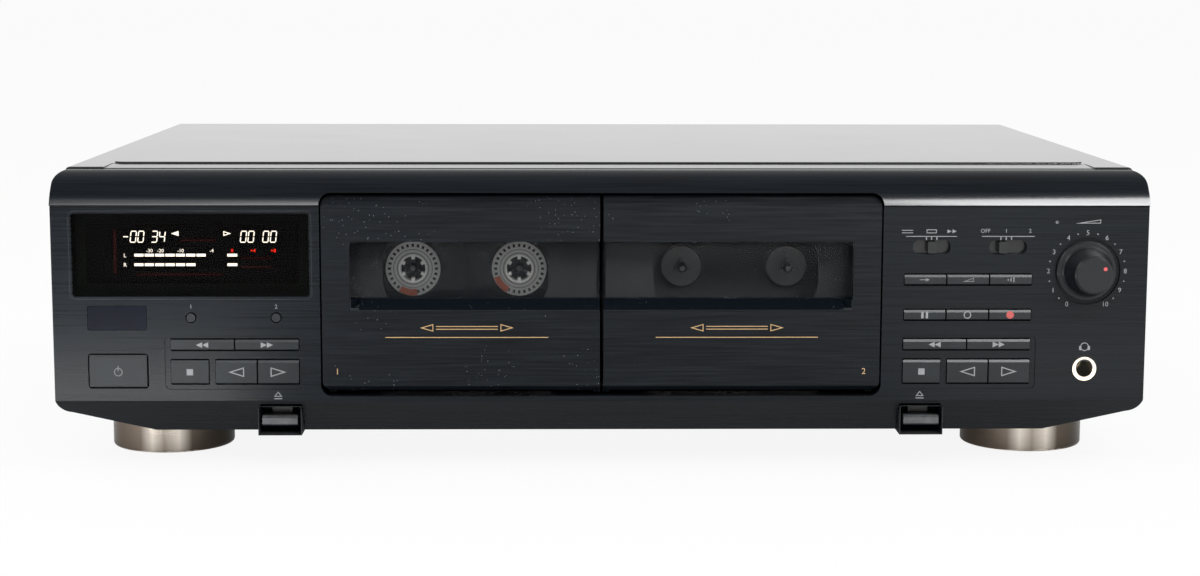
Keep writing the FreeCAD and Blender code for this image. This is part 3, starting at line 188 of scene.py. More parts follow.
sky_light = 0.55
world = bpy.data.worlds.new("studio")
world.use_nodes = True
scene.world = world
world_tree = world.node_tree
world_tree.nodes.clear()
upwards = add(world_tree, "ShaderNodeSeparateXYZ",
              links={0: add(world_tree, "ShaderNodeTexCoord").outputs["Generated"]}).outputs["Z"]
wall_top, ceiling_start = 0.3, 0.45
walls = add(world_tree, "ShaderNodeMapRange",
            {"From Min": wall_top, "From Max": ceiling_start, "To Min": 1.0, "To Max": -0.9},
            {"Value": upwards}).outputs["Result"]
strength = add(world_tree, "ShaderNodeMapRange", {"To Min": sky_light, "To Max": 1.0, "clamp": False},
               {"Value": white_for_looks(world_tree, walls)})
sky = add(world_tree, "ShaderNodeBackground", {"Color": linear("ffffff")},
          {"Strength": strength.outputs["Result"]})
add(world_tree, "ShaderNodeOutputWorld", links={"Surface": sky.outputs[0]})

# %% Floor
floor_mesh = bmesh.new()
bmesh.ops.create_grid(floor_mesh, x_segments=1, y_segments=1, size=60)
floor_data = bpy.data.meshes.new("floor")
floor_mesh.to_mesh(floor_data)
floor_mesh.free()
floor = bpy.data.objects.new("floor", floor_data)
scene.collection.objects.link(floor)

floor_paint = bpy.data.materials.new("white_sweep")
floor_paint.use_nodes = True
floor_tree = floor_paint.node_tree
floor_tree.nodes.clear()
shadowed = add(floor_tree, "ShaderNodeBsdfDiffuse", {"Color": linear("f4f4f4")})
glowing = add(floor_tree, "ShaderNodeEmission", {"Color": linear("ffffff"), "Strength": 1.02})
glow_share, mirrored_share = 0.88, 0.25
share = maths(floor_tree, "MULTIPLY", white_for_looks(floor_tree, mirrored_share), glow_share)
both = add(floor_tree, "ShaderNodeMixShader",
           links={0: share, 1: shadowed.outputs[0], 2: glowing.outputs[0]})
add(floor_tree, "ShaderNodeOutputMaterial", links={"Surface": both.outputs[0]})
floor_data.materials.append(floor_paint)
print("floor", [round(v, 1) for v in floor.dimensions])


# %% Soft boxes
def soft_box(name, place, target, width, height, watts, sheen_only=False):
    """A rectangular lamp at a place in metres that faces its target."""
    lamp = bpy.data.lights.new(name, "AREA")
    lamp.shape = "RECTANGLE"
    lamp.size = width
    lamp.size_y = height
    lamp.energy = watts
    made = bpy.data.objects.new(name, lamp)
    scene.collection.objects.link(made)
    turn = (Vector(target) - Vector(place)).to_track_quat("-Z", "Y").to_matrix().to_4x4()
    made.matrix_world = Matrix.Translation(place) @ turn
    made.visible_camera = False
    made.visible_diffuse = not sheen_only


deck_middle = (0, 0, 0.07)
soft_box("front_box", (0, -1.6, 1.3), deck_middle, 1.6, 0.7, 14)
soft_box("left_box", (-1.4, -0.9, 1.2), deck_middle, 0.8, 0.8, 6)
soft_box("right_box", (1.5, -0.5, 1.3), deck_middle, 0.8, 0.8, 5)
soft_box("lip_sheen", (0.1, -1.3, 0.95), deck_middle, 2.6, 0.4, 45, sheen_only=True)
soft_box("lip_sheen_right", (0.8, -1.15, 1.0), deck_middle, 0.9, 0.8, 120, sheen_only=True)
table_left = (-0.25, face - 0.15, 0.003)
soft_box("low_left_sheen", table_left, (-0.25, face - 0.15, 1), 0.18, 0.12, 0.9, sheen_only=True)
table_right = (0.3, face - 0.2, 0.003)
soft_box("low_right_sheen", table_right, (0.3, face - 0.2, 1), 0.3, 0.15, 0.3, sheen_only=True)
table_front = (0.22, face - 0.95, 0.003)
soft_box("door_sheen", table_front, (0.22, face - 0.95, 1), 0.4, 0.5, 1.6, sheen_only=True)

# %% [markdown]
# ## Patterns at their real size
# A moulding, a brushed face and a painted sheet differ by small patterns: spark-eroded grain, brush
# lines, orange peel. Each is a noise on the object's own coordinates, with its spacing in
# millimetres. The same noise then tints the colour, varies the gloss and raises a fine bump.

# %% Helpers for patterns
def noise(tree, spacing, stretch=(1, 1, 1), detail=2.0):
    """Noise whose spots are spacing millimetres apart, drawn out by stretch along each axis."""
    scale = [1 / (spacing * MM * drawn) for drawn in stretch]
    mapped = add(tree, "ShaderNodeMapping", {"Scale": scale}, {"Vector": place_of(tree)})
    return add(tree, "ShaderNodeTexNoise", {"Scale": 1.0, "Detail": detail},
               {"Vector": mapped.outputs["Vector"]}).outputs["Fac"]


def tint(tree, shader, pattern, dark, light, start=0.3, end=0.7):
    """Lets a pattern run the base colour from dark to light."""
    ramp = add(tree, "ShaderNodeValToRGB", links={"Fac": pattern})
    ramp.color_ramp.elements[0].position = start
    ramp.color_ramp.elements[1].position = end
    ramp.color_ramp.elements[0].color = linear(dark)
    ramp.color_ramp.elements[1].color = linear(light)
    tree.links.new(ramp.outputs["Color"], shader.inputs["Base Color"])
    return ramp.outputs["Color"]


def gloss(tree, shader, pattern, low, high):
    """Lets a pattern vary the roughness between two values."""
    spread = add(tree, "ShaderNodeMapRange",
                 {"From Min": 0.3, "From Max": 0.7, "To Min": low, "To Max": high}, {"Value": pattern})
    tree.links.new(spread.outputs["Result"], shader.inputs["Roughness"])


def relief(tree, shader, pattern, height, amount=1.0):
    """Raises the pattern as a bump of that height in millimetres."""
    bump = add(tree, "ShaderNodeBump", {"Distance": height * MM, "Strength": amount},
               {"Height": pattern})
    tree.links.new(bump.outputs["Normal"], shader.inputs["Normal"])


def from_axis(tree, across, up):
    """Millimetres from an axis that runs front to back, as a value."""
    settings = {"Location": (-across, 0, -up), "Scale": (1 / MM, 0, 1 / MM)}
    mapped = add(tree, "ShaderNodeMapping", settings, {"Vector": place_of(tree)})
    return add(tree, "ShaderNodeVectorMath", {"operation": "LENGTH"},
               {0: mapped.outputs["Vector"]}).outputs["Value"]


def dress(material, *nodes):
    """Gives a CAD node its material."""
    for name in nodes:
        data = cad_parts[name].data
        data.materials.clear()
        data.materials.append(material)
        undressed.discard(name)


undressed = set(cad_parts)
print("nodes to dress", len(undressed))

# %% [markdown]
# ## Front panel: brushed black ABS
# The face is one ABS moulding, brushed in long strokes from side to side and then given a thin dark
# coat. The strokes are tenths of a millimetre apart. They are drawn 0.7 mm apart here so that they
# still show at this picture size. The brow over the face is left as it came from the polished tool,
# so the strokes stop at its foot, and one comparison with the height tells the two apart.

# %% Brushed black ABS
brow_foot = 106.9
brow_roughness = 0.17
stroke_height = 0.004
# ABS, moulded, brushed and coated: fine level strokes that catch light as thin grey lines
brushed_abs, tree, shader = surface("brushed_black_ABS", "15171a", 0.36, Specular_IOR_Level=0.16)
strokes = noise(tree, 0.7, (60, 60, 1), 4.0)
tint(tree, shader, strokes, "03060a", "131a21", 0.2, 0.8)
brushed = maths(tree, "LESS_THAN", place_of(tree, "Z"), brow_foot * MM)
varied = add(tree, "ShaderNodeMapRange", {"To Min": 0.22, "To Max": 0.34}, {"Value": strokes})
rough = add(tree, "ShaderNodeMix", {2: brow_roughness}, {0: brushed, 3: varied.outputs["Result"]})
tree.links.new(rough.outputs[0], shader.inputs["Roughness"])
bump = add(tree, "ShaderNodeBump", {"Distance": stroke_height * MM},
           {"Height": strokes, "Strength": brushed})
tree.links.new(bump.outputs["Normal"], shader.inputs["Normal"])
dress(brushed_abs, "front_panel")


# %% [markdown]
# ## Doors: smoother black ABS with dust
# The doors are moulded in the same black but smoother, and dust sits on them where hands seldom wipe,
# round the window of the left door. Dust is a Voronoi pattern of tiny spots. A slow noise decides
# where any spots show at all, which keeps them in drifts as real dust lies.

# %% Dust over a black door
def dust(tree, spacing, radius, drift, threshold):
    """Tiny specks spacing millimetres apart, in drifts: 1 on a speck and 0 elsewhere."""
    specks = add(tree, "ShaderNodeTexVoronoi", {"Scale": 1 / (spacing * MM)}, {"Vector": place_of(tree)})
    spot = maths(tree, "LESS_THAN", specks.outputs["Distance"], radius / spacing)
    where = maths(tree, "GREATER_THAN", noise(tree, drift, detail=3.0), threshold)
    return maths(tree, "MULTIPLY", spot, where)


def door_material(name, threshold):
    """Smooth black ABS whose share of dust falls as the threshold rises."""
    # ABS, moulded against a polished tool and lightly brushed: an even charcoal with soft reflections
    material, tree, shader = surface(name, "14171a", 0.32, Specular_IOR_Level=0.12)
    strokes = noise(tree, 0.6, (45, 45, 1), 3.0)
    base = tint(tree, shader, strokes, "070b0f", "11171d")
    dusty = blend(tree, dust(tree, 1.3, 0.12, 22, threshold), base, linear("9aa2a8"))
    tree.links.new(dusty, shader.inputs["Base Color"])
    gloss(tree, shader, strokes, 0.3, 0.42)
    relief(tree, shader, strokes, 0.004, 0.4)
    return material


dress(door_material("smooth_black_ABS_dusty", 0.56), "cassette_door_a")
dress(door_material("smooth_black_ABS_clean", 0.66), "cassette_door_b")

# %% [markdown]
# ## Cover: black enamel on folded steel
# The cover is folded from steel sheet and sprayed with black enamel. Enamel lies nearly smooth, with
# a faint orange peel about 1.5 mm across. The camera looks along it at only four degrees, and at so
# flat an angle even black enamel mirrors the white room, which is why it looks silver.

# %% Black enamel
# Enamel on steel: a black skin with slight ripples, glossy when seen along the sheet
enamel, tree, shader = surface("black_enamel_on_steel", "141516", 0.12, IOR=1.55)
peel = noise(tree, 1.5, detail=1.0)
tint(tree, shader, noise(tree, 40, detail=3.0), "121314", "161718")
gloss(tree, shader, noise(tree, 60, detail=2.0), 0.1, 0.12)
relief(tree, shader, peel, 0.0008, 0.3)
dress(enamel, "top_cover")

# %% [markdown]
# ## Steel inside, behind and below
# The tray and the back are zinc-plated steel. Plating grows in flakes, so its colour wanders over a
# few millimetres between two cool greys. The back plate is the same steel under a thin grey-black
# paint. The small steel parts of the decks are ground and polished.

# %% Zinc plate, back paint and polished steel
# Zinc-plated steel sheet, dull from the bath: flaky cool greys
zinc, tree, shader = surface("zinc_plated_steel", "8d9094", 0.42, 1.0)
flakes = noise(tree, 4, detail=5.0)
tint(tree, shader, flakes, "7b7f84", "a2a5a8")
gloss(tree, shader, flakes, 0.34, 0.5)
dress(zinc, "chassis_tray")

# Grey-black paint on steel, rolled on thin: matt with a fine tooth
back_paint, tree, shader = surface("back_plate_paint", "1f2022", 0.55)
tooth = noise(tree, 0.8, detail=3.0)
tint(tree, shader, tooth, "1a1b1d", "26272a")
relief(tree, shader, tooth, 0.02, 0.4)
dress(back_paint, "rear_panel")

# Hardened steel, ground and polished: bright with faint rings
polished, tree, shader = surface("polished_steel", "b9bbbd", 0.22, 1.0)
rings = noise(tree, 0.5, (1, 30, 1), 2.0)
tint(tree, shader, rings, "a9abad", "c6c8ca")
gloss(tree, shader, rings, 0.16, 0.3)
dress(polished, "capstan_a_left", "capstan_a_right", "capstan_b_left", "capstan_b_right")

# Cast and painted alloy of the level control and its shaft: soft grey metal
control_metal, tree, shader = surface("plated_control_body", "9a9488", 0.38, 1.0)
tint(tree, shader, noise(tree, 2, detail=3.0), "8b8578", "aaa498")
dress(control_metal, "level_control")

# Varnished core plates stacked in a transformer: dark brown edges of 0.5 mm sheet
core, tree, shader = surface("varnished_core_plates", "4a4139", 0.45, 0.6)
sheets = add(tree, "ShaderNodeTexWave",
             {"wave_type": "BANDS", "bands_direction": "Y", "Scale": 1 / (1.6 * MM) / 6.28},
             {"Vector": place_of(tree)})
tint(tree, shader, sheets.outputs["Fac"], "352e28", "5c5248")
dress(core, "transformer")
print("left to dress", len(undressed))

# %% [markdown]
# ## Feet: turned aluminium in champagne
# The feet are turned from aluminium and anodised a pale gold. The tool leaves fine level rings, and
# rings scatter light up and down but not sideways, so tall bright and dark bands of reflected light
# stand on the metal. Noise drawn out level round each foot gives the rings, in the gloss. The bands are
# painted reflections: a colour ramp over the way each spot faces, from left to right, so that every
# foot carries them alike.

# %% Champagne anodised aluminium
# Aluminium, turned and anodised: warm pale metal with fine level rings, its colour painted reflection
# bands
champagne, tree, shader = surface("champagne_aluminium_painted_reflections", "c4b5a2", 0.24, 1.0)
rings = noise(tree, 0.35, (200, 200, 1), 1.0)
gloss(tree, shader, rings, 0.2, 0.28)
# Painted reflections: the base colour runs through bright and dark bands by the way each spot faces
facing = add(tree, "ShaderNodeSeparateXYZ", links={0: add(tree, "ShaderNodeTexCoord").outputs["Normal"]})
sideways = add(tree, "ShaderNodeMapRange", {"From Min": -1.0}, {"Value": facing.outputs["X"]})
bands = add(tree, "ShaderNodeValToRGB", links={"Fac": sideways.outputs["Result"]})
painted_reflection_colours = ((0.0, "54483d"), (0.3, "94867a"), (0.4, "fbf1e4"), (0.5, "b5a89a"), (0.62, "f3e9dd"),
                (0.72, "6a6056"), (1.0, "3d3730"))
for place, colour in painted_reflection_colours[1:-1]:
    bands.color_ramp.elements.new(place)
for stop, (place, colour) in zip(bands.color_ramp.elements, painted_reflection_colours):
    stop.position = place
    stop.color = linear(colour)
tree.links.new(bands.outputs["Color"], shader.inputs["Base Color"])
dress(champagne, "feet")

# Brass, turned and nickel plated, on the socket for headphones: bright warm ring round a bore painted
# black as shade
socket_bore = 3.35
socket_across, _, socket_up = middle("phones_jack")
nickel, tree, shader = surface("nickel_plated_brass_painted_bore_shade", "d2c8b4", 0.18, 1.0)
ring_outside_painted_bore_shade = maths(tree, "GREATER_THAN", from_axis(tree, socket_across, socket_up), socket_bore)
worn = tint(tree, shader, noise(tree, 0.6, (1, 20, 1), 2.0), "cdc1ab", "e8e0d0")
# Painted shade: inside the bore's radius the colour is near black and not metallic
tree.links.new(blend(tree, ring_outside_painted_bore_shade, linear("040404"), worn), shader.inputs["Base Color"])
tree.links.new(ring_outside_painted_bore_shade, shader.inputs["Metallic"])
dress(nickel, "phones_jack")

# Brass, gold flashed, on the line sockets: yellow metal, a little rubbed
gold, tree, shader = surface("gold_flashed_brass", "c9a656", 0.25, 1.0)
tint(tree, shader, noise(tree, 1.2, detail=3.0), "b8933f", "d6b76c")
dress(gold, "line_jacks")

# %% [markdown]
# ## Small mouldings: keys, knob, sliders and levers
# Keys are moulded in black ABS against a spark-eroded tool, which leaves a fine even grain. Grains
# are a tenth of a millimetre wide. They are drawn 0.4 mm wide here so that they still soften the
# light. The knob is smoother and turned, so its pattern runs in rings round its own axis.

# %% Grained black ABS and its relatives
# ABS, moulded with a spark-eroded grain: dull charcoal with a pale line where the top edge catches light
key_abs, tree, shader = surface("grained_black_ABS", "1c1e21", 0.4, Specular_IOR_Level=0.2)
grain = noise(tree, 0.4, detail=2.0)
tint(tree, shader, noise(tree, 9, detail=3.0), "15191d", "1d2226")
gloss(tree, shader, grain, 0.34, 0.46)
relief(tree, shader, grain, 0.006, 0.4)
keys = [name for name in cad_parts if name.endswith(("_key", "_key_a", "_key_b"))]
dress(key_abs, "power_button", "reset_button_a", "reset_button_b", *keys)

# ABS of the slide switches, moulded glossy and black, darker than the keys as painted shade of the slot;
# bright edges on the nub come from the lamps
slot_shaded_slide_abs, tree, shader = surface("glossy_black_ABS_painted_slot_shade", "0a0b0c", 0.22, Specular_IOR_Level=0.4)
tint(tree, shader, noise(tree, 2, detail=2.0), "08090a", "0e1012")
dress(slot_shaded_slide_abs, "direction_slider", "noise_slider")

# ABS levers that fingers pull down: the same moulding, rubbed grey on the tab, with painted shade near
# black behind it
lever_abs, tree, shader = surface("rubbed_grey_ABS", "4a4d50", 0.38)
rubbed = tint(tree, shader, noise(tree, 3, detail=4.0), "3d4043", "585b5e")
tab_thickness = 3.0
tab_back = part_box("eject_lever_a")[0].y + tab_thickness * MM
# Painted shade: everything more than the tab's thickness behind its front is near black
painted_shade_behind_tab = maths(tree, "GREATER_THAN", place_of(tree, "Y"), tab_back)
tree.links.new(blend(tree, painted_shade_behind_tab, rubbed, linear("060607")), shader.inputs["Base Color"])
dress(lever_abs, "eject_lever_a", "eject_lever_b")
print("keys", len(keys))

# %% Knob
# ABS, moulded smooth, with turned rings 0.5 mm apart on its cap: satin black
knob_across, knob_deep, knob_up = middle("level_knob")
knob_abs, tree, shader = surface("satin_black_ABS_knob", "1d1f22", 0.3, Specular_IOR_Level=0.25)
waves = maths(tree, "MULTIPLY", from_axis(tree, knob_across, knob_up), 2 * math.pi / 0.5)
rings = maths(tree, "SINE", waves)
tint(tree, shader, rings, "14171b", "1c2024", 0.0, 1.0)
relief(tree, shader, rings, 0.002, 0.2)
dress(knob_abs, "level_knob")

# %% [markdown]
# ## Windows
# Three clear or smoked plastics are used. The door windows are nearly clear acrylic with a little
# smoke in it. The display window is dark smoke, so that only lit parts show through. The window of
# the remote eye is a deep navy plastic. See-through here is Alpha, because light then also falls
# through to what lies behind, as it does through a real thin pane.

# %% Acrylic windows
# Acrylic, moulded and lightly smoked: clear with a few specks of dust, and painted black along its sill
window_sill = 69.5
pane, tree, shader = surface("lightly_smoked_acrylic", "0b0c0e", 0.1, IOR=1.49, Specular_IOR_Level=0.4)
specks = dust(tree, 1.3, 0.11, 9, 0.54)
tint(tree, shader, specks, "10161c", "aab0b4", 0.2, 0.8)
sill = maths(tree, "LESS_THAN", place_of(tree, "Z"), window_sill * MM)
opaque = maths(tree, "MAXIMUM", sill, specks)
clear = add(tree, "ShaderNodeMapRange", {"To Min": 0.14, "To Max": 1.0}, {"Value": opaque})
tree.links.new(clear.outputs["Result"], shader.inputs["Alpha"])
dress(pane, "door_window_a", "door_window_b")

# Acrylic with dark smoke in it: black unless something glows behind
smoke, tree, shader = surface("dark_smoked_acrylic", "040404", 0.14, Specular_IOR_Level=0.06, Alpha=0.6)
tint(tree, shader, noise(tree, 30, detail=2.0), "030303", "060505")
dress(smoke, "display_window")

# Dyed plastic that only passes infrared: deep navy and glossy
navy, tree, shader = surface("infrared_navy_plastic", "0c0f1c", 0.2, Specular_IOR_Level=0.15)
tint(tree, shader, noise(tree, 12, detail=2.0), "0a0d18", "101426")
dress(navy, "remote_window")

# Glass of the display tube over its dark anodes: near black with a warm tinge
tube, tree, shader = surface("display_tube_glass", "0a0605", 0.3, Specular_IOR_Level=0.1)
tint(tree, shader, noise(tree, 8, (3, 1, 1), 3.0), "040202", "0c0504")
dress(tube, "display_tube")

# Polystyrene of the cassette case, grey and see-through: dark smoke, with open rounds for the hubs
shell, tree, shader = surface("smoked_polystyrene", "101216", 0.16, Specular_IOR_Level=0.3)
tint(tree, shader, noise(tree, 14, detail=2.0), "10151b", "171d24")
nearest = maths(tree, "MINIMUM", *[from_axis(tree, middle(node)[0], middle(node)[2])
                                   for node in ("tape_hub_left", "tape_hub_right")])
opened = add(tree, "ShaderNodeMapRange",
             {"From Min": 11.2, "From Max": 11.6, "To Min": 0.08, "To Max": 0.6}, {"Value": nearest})
tree.links.new(opened.outputs["Result"], shader.inputs["Alpha"])
dress(shell, "cassette_shell")
print("left to dress", sorted(undressed))

# %% [markdown]
# ## Inside the decks
# Behind the windows stand the deck plates, holders, spindles and head blocks. All are dark mouldings
# or blackened metal, which keeps the windows dark. The circuit boards are brown resin paper under
# green solder mask. Each has its own fine pattern, since these parts show when a door is open.

# %% Dark works and circuit boards
# Polyacetal, moulded matt for plates and holders: very dark and dull
works, tree, shader = surface("matt_black_polyacetal", "0e0f11", 0.6, Specular_IOR_Level=0.2)
tint(tree, shader, noise(tree, 5, detail=4.0), "0a0d10", "12161a")
dress(works, "deck_plate_a", "deck_plate_b", "cassette_holder_a", "cassette_holder_b", "cord_gland")

# Polyacetal of the reel spindles: dark grey with a slight sheen
spindle, tree, shader = surface("grey_polyacetal", "1b1d20", 0.4)
tint(tree, shader, noise(tree, 2, detail=3.0), "17191c", "23262a")
dress(spindle, *[f"reel_spindle_{deck}_{side}" for deck in "ab" for side in ("left", "right")])

# Permalloy head blocks, lapped to a shine
permalloy, tree, shader = surface("lapped_permalloy", "9a9996", 0.25, 1.0)
tint(tree, shader, noise(tree, 1, (8, 1, 1), 3.0), "8a8986", "adaca8")
dress(permalloy, "head_block_a", "head_block_b")

# Resin paper board under green solder mask: dark green with copper lanes showing faintly
board, tree, shader = surface("solder_masked_board", "20432c", 0.4)
lanes = add(tree, "ShaderNodeTexBrick",
            {"Scale": 1 / (8 * MM), "Color1": linear("1c3d28"), "Color2": linear("224a31"),
             "Mortar": linear("2e5f3e"), "Mortar Size": 0.06}, {"Vector": place_of(tree)})
tree.links.new(lanes.outputs["Color"], shader.inputs["Base Color"])
dress(board, "main_board", "key_boards")


# %% Cassette hubs and their tape
hub_radius = 11.0


def hub_material(name, node):
    """White hub inside, wound tape outside, told apart by the distance from the hub's own axis."""
    # Polyacetal hub, moulded white, and oxide tape wound on it: the tape has fine rings 0.3 mm apart
    across, _, up = middle(node)
    material, tree, shader = surface(name, "c9c9c7", 0.4)
    away = from_axis(tree, across, up)
    tape = maths(tree, "GREATER_THAN", away, hub_radius)
    rings = maths(tree, "SINE", maths(tree, "MULTIPLY", away, 2 * math.pi / 0.3))
    wound = add(tree, "ShaderNodeMapRange", {"From Min": -1.0, "To Min": 0.0, "To Max": 0.5},
                {"Value": rings})
    brown = blend(tree, wound.outputs["Result"], linear("0e0b0a"), linear("1d1714"))
    tree.links.new(blend(tree, tape, linear("e6e6e3"), brown), shader.inputs["Base Color"])
    return material


for node in ("tape_hub_left", "tape_hub_right"):
    dress(hub_material("white_polyacetal_" + node, node), node)
print("left to dress", sorted(undressed))

# %% [markdown]
# ## Printing inks and light
# What is printed on a deck is a film of ink a few hundredths of a millimetre thick. It is modelled
# as that: a flat outline pushed out by a hair. Marks keep their own material, grey on the panel, gold
# on the doors, red for recording. The figures of the display are phosphor that glows by itself.

# %% Inks and phosphors
def dimmed(colour, share):
    """A linear colour at a share of its light."""
    return [value * share for value in colour[:3]] + [1]


def ink(name, colour):
    """A matt printing ink that is a little uneven, as a pad leaves it."""
    material, tree, shader = surface(name, colour, 0.5)
    pale = linear(colour)
    tree.links.new(blend(tree, noise(tree, 6), dimmed(pale, 0.86), pale), shader.inputs["Base Color"])
    return material


def phosphor(name, colour, strength):
    """A phosphor that glows evenly, a little duller in spots by a fine noise."""
    material, tree, shader = surface(name, "101010", 0.5, Emission_Strength=strength)
    lit = linear(colour)
    tree.links.new(blend(tree, noise(tree, 0.6), dimmed(lit, 0.8), lit), shader.inputs["Emission Color"])
    return material


grey_ink = ink("grey_pad_printing_ink", "8e9194")
dim_ink = ink("dim_grey_printing_ink", "6c6f72")
gold_ink = ink("gold_printing_ink", "d0a66c")
red_ink = ink("red_printing_ink", "c0302c")
warm_phosphor = phosphor("warm_white_phosphor", "fff3e2", 10.0)
red_phosphor = phosphor("red_phosphor", "ff2a14", 9.0)
dull_phosphor = phosphor("idle_red_phosphor", "8a1008", 0.55)


# %% Helpers for printed shapes
def rim_of(bm, printed, width):
    """Turns a flat face into a rim of that width along its edge."""
    rim = bmesh.ops.inset_region(bm, faces=[printed], thickness=width * MM, use_even_offset=True,
                                 use_boundary=True)["faces"]
    bmesh.ops.delete(bm, geom=[printed], context="FACES_ONLY")
    return rim


def stamp(bm, outline, deep, across=0.0, up=0.0, hollow=None):
    """Prints an outline of (across, up) points at a depth: filled, or a line of width hollow."""
    corners = [bm.verts.new(point(across + x, deep, up + z)) for x, z in outline]
    press(bm, bm.faces.new(corners), hollow)


def press(bm, printed, hollow):
    """Turns a flat face into a film of ink, or into a rim of width hollow round it."""
    printed.normal_update()
    thicken(bm, rim_of(bm, printed, hollow) if hollow else [printed])


def thicken(bm, faces, film=0.06):
    """Pushes flat faces out towards the front by the thickness of a film of ink."""
    grown = bmesh.ops.extrude_face_region(bm, geom=faces, use_keep_orig=True)
    raised = [v for v in grown["geom"] if isinstance(v, bmesh.types.BMVert)]
    bmesh.ops.translate(bm, verts=raised, vec=(0, -film * MM, 0))


def upright(across, deep, up):
    """Stands a flat shape up to face the front at a place."""
    return Matrix.Translation(point(across, deep, up)) @ Matrix.Rotation(math.radians(90), 4, "X")


def ring(bm, across, deep, up, radius, width=None, segments=28):
    """Prints a disc, or a circle line of that width."""
    made = bmesh.ops.create_circle(bm, cap_ends=True, segments=segments, radius=radius * MM,
                                   matrix=upright(across, deep, up))
    press(bm, made["verts"][0].link_faces[0], width)


def letters(bm, words, size, across, deep, up):
    """Prints words in Blender's own plain font, as a mesh, centred on a place."""
    curve = bpy.data.curves.new("print", "FONT")
    curve.body = words
    curve.size = size * MM
    curve.align_x = "CENTER"
    curve.align_y = "CENTER"
    half_film = 0.03
    curve.extrude = half_film * MM
    curve.resolution_u = 3
    written = bpy.data.objects.new("print", curve)
    mesh = bpy.data.meshes.new_from_object(written)
    mesh.transform(upright(across, deep - half_film, up))
    bm.from_mesh(mesh)
    bpy.data.objects.remove(written)
    bpy.data.curves.remove(curve)
    bpy.data.meshes.remove(mesh)


def piece(name, bm, material, body):
    """Makes a mesh an object, dresses it, and lets it ride on a body."""
    bmesh.ops.recalc_face_normals(bm, faces=bm.faces)
    mesh = bpy.data.meshes.new(name)
    bm.to_mesh(mesh)
    bm.free()
    mesh.materials.append(material)
    made = bpy.data.objects.new(name, mesh)
    scene.collection.objects.link(made)
    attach(made, body)
    print(name, len(mesh.polygons), "faces on", body)


def box_outline(width, height):
    """The four corners of an upright rectangle round its middle."""
    half, tall = width / 2, height / 2
    return [(-half, -tall), (half, -tall), (half, tall), (-half, tall)]


def arrow(width, height, way):
    """A triangle round its middle that points left for -1 and right for 1."""
    return [(-width / 2 * way, -height / 2), (width / 2 * way, 0), (-width / 2 * way, height / 2)]


# %% [markdown]
# ## Icons on the keys
# Transport keys carry the signs that every deck has: double arrows to wind, a square to stop, hollow
# arrows to play either way, two bars to pause, a ring and a red dot for recording. Each is printed on
# the front of its key and rides on the key's own body, so it goes in when the key is pressed.

# %% Key icons
def key_mark(node, marks, material=grey_ink):
    """Prints a list of (outline, offset across, hollow width) on the front of a key."""
    across, deep, up = middle(node)
    bm = bmesh.new()
    for outline, shift, hollow in marks:
        stamp(bm, outline, deep + 0.01, across + shift, up, hollow)
    piece(node + "_mark", bm, material, node)


wind_width, wind_height = 2.4, 2.3
play_width, play_height, play_line = 6.2, 3.9, 0.42
for deck in "ab":
    for node, way in (("rewind_key_", -1), ("fast_forward_key_", 1)):
        wind = arrow(wind_width, wind_height, way)
        key_mark(node + deck, [(wind, shift, None) for shift in (-1.2, 1.2)])
    key_mark("stop_key_" + deck, [(box_outline(2.5, 2.5), 0, None)])
    key_mark("reverse_play_key_" + deck, [(arrow(play_width, play_height, -1), 0, play_line)])
    key_mark("play_key_" + deck, [(arrow(play_width, play_height, 1), 0, play_line)])
key_mark("pause_key", [(box_outline(0.9, 2.7), shift, None) for shift in (-0.9, 0.9)])
key_mark("copy_key", [(box_outline(2.4, 0.35), -1.0, None), (arrow(1.6, 1.5, 1), 1.0, None)], dim_ink)
key_mark("fader_key", [([(-2.2, -0.8), (2.2, -0.8), (2.2, 0.8)], 0, 0.25)], dim_ink)
rising = [(box_outline(0.5, tall), shift, None) for tall, shift in ((0.8, -1.1), (1.4, 0.0), (2.0, 1.1))]
key_mark("level_search_key", rising, dim_ink)

# %% Round marks of recording
for node, width, material in (("record_mute_key", 0.38, grey_ink), ("record_key", None, red_ink)):
    across, deep, up = middle(node)
    bm = bmesh.new()
    ring(bm, across, deep + 0.01, up, 1.5, width)
    piece(node + "_mark", bm, material, node)

# %% Sign on the power button
across, deep, up = middle("power_button")
bm = bmesh.new()
ring(bm, across, deep + 0.01, up - 0.3, 1.7, 0.36)
stamp(bm, box_outline(0.4, 2.0), deep - 0.05, across, up + 1.1)
piece("power_button_mark", bm, dim_ink, "power_button")

# %% [markdown]
# ## Marks on the panel
# Round the level knob run the figures 0 to 10 with a dot midway between each two. A dial is the
# plainest case for a loop: the figures stand every 30 degrees, from 150 degrees left of the top. The
# slide switches have a bracket with three ticks, and the levers below the keys an eject sign.

# %% Dial figures and dots
dial_radius = 15.2
dial = bmesh.new()
for step in range(21):
    angle = math.radians(-150 + 15 * step)
    across = knob_across + dial_radius * math.sin(angle)
    up = knob_up + dial_radius * math.cos(angle)
    if step % 2:
        ring(dial, across, 0.01, up, 0.28, segments=10)
    else:
        letters(dial, str(step // 2), 2.7, across, 0.01, up)
piece("dial_figures", dial, grey_ink, "case")

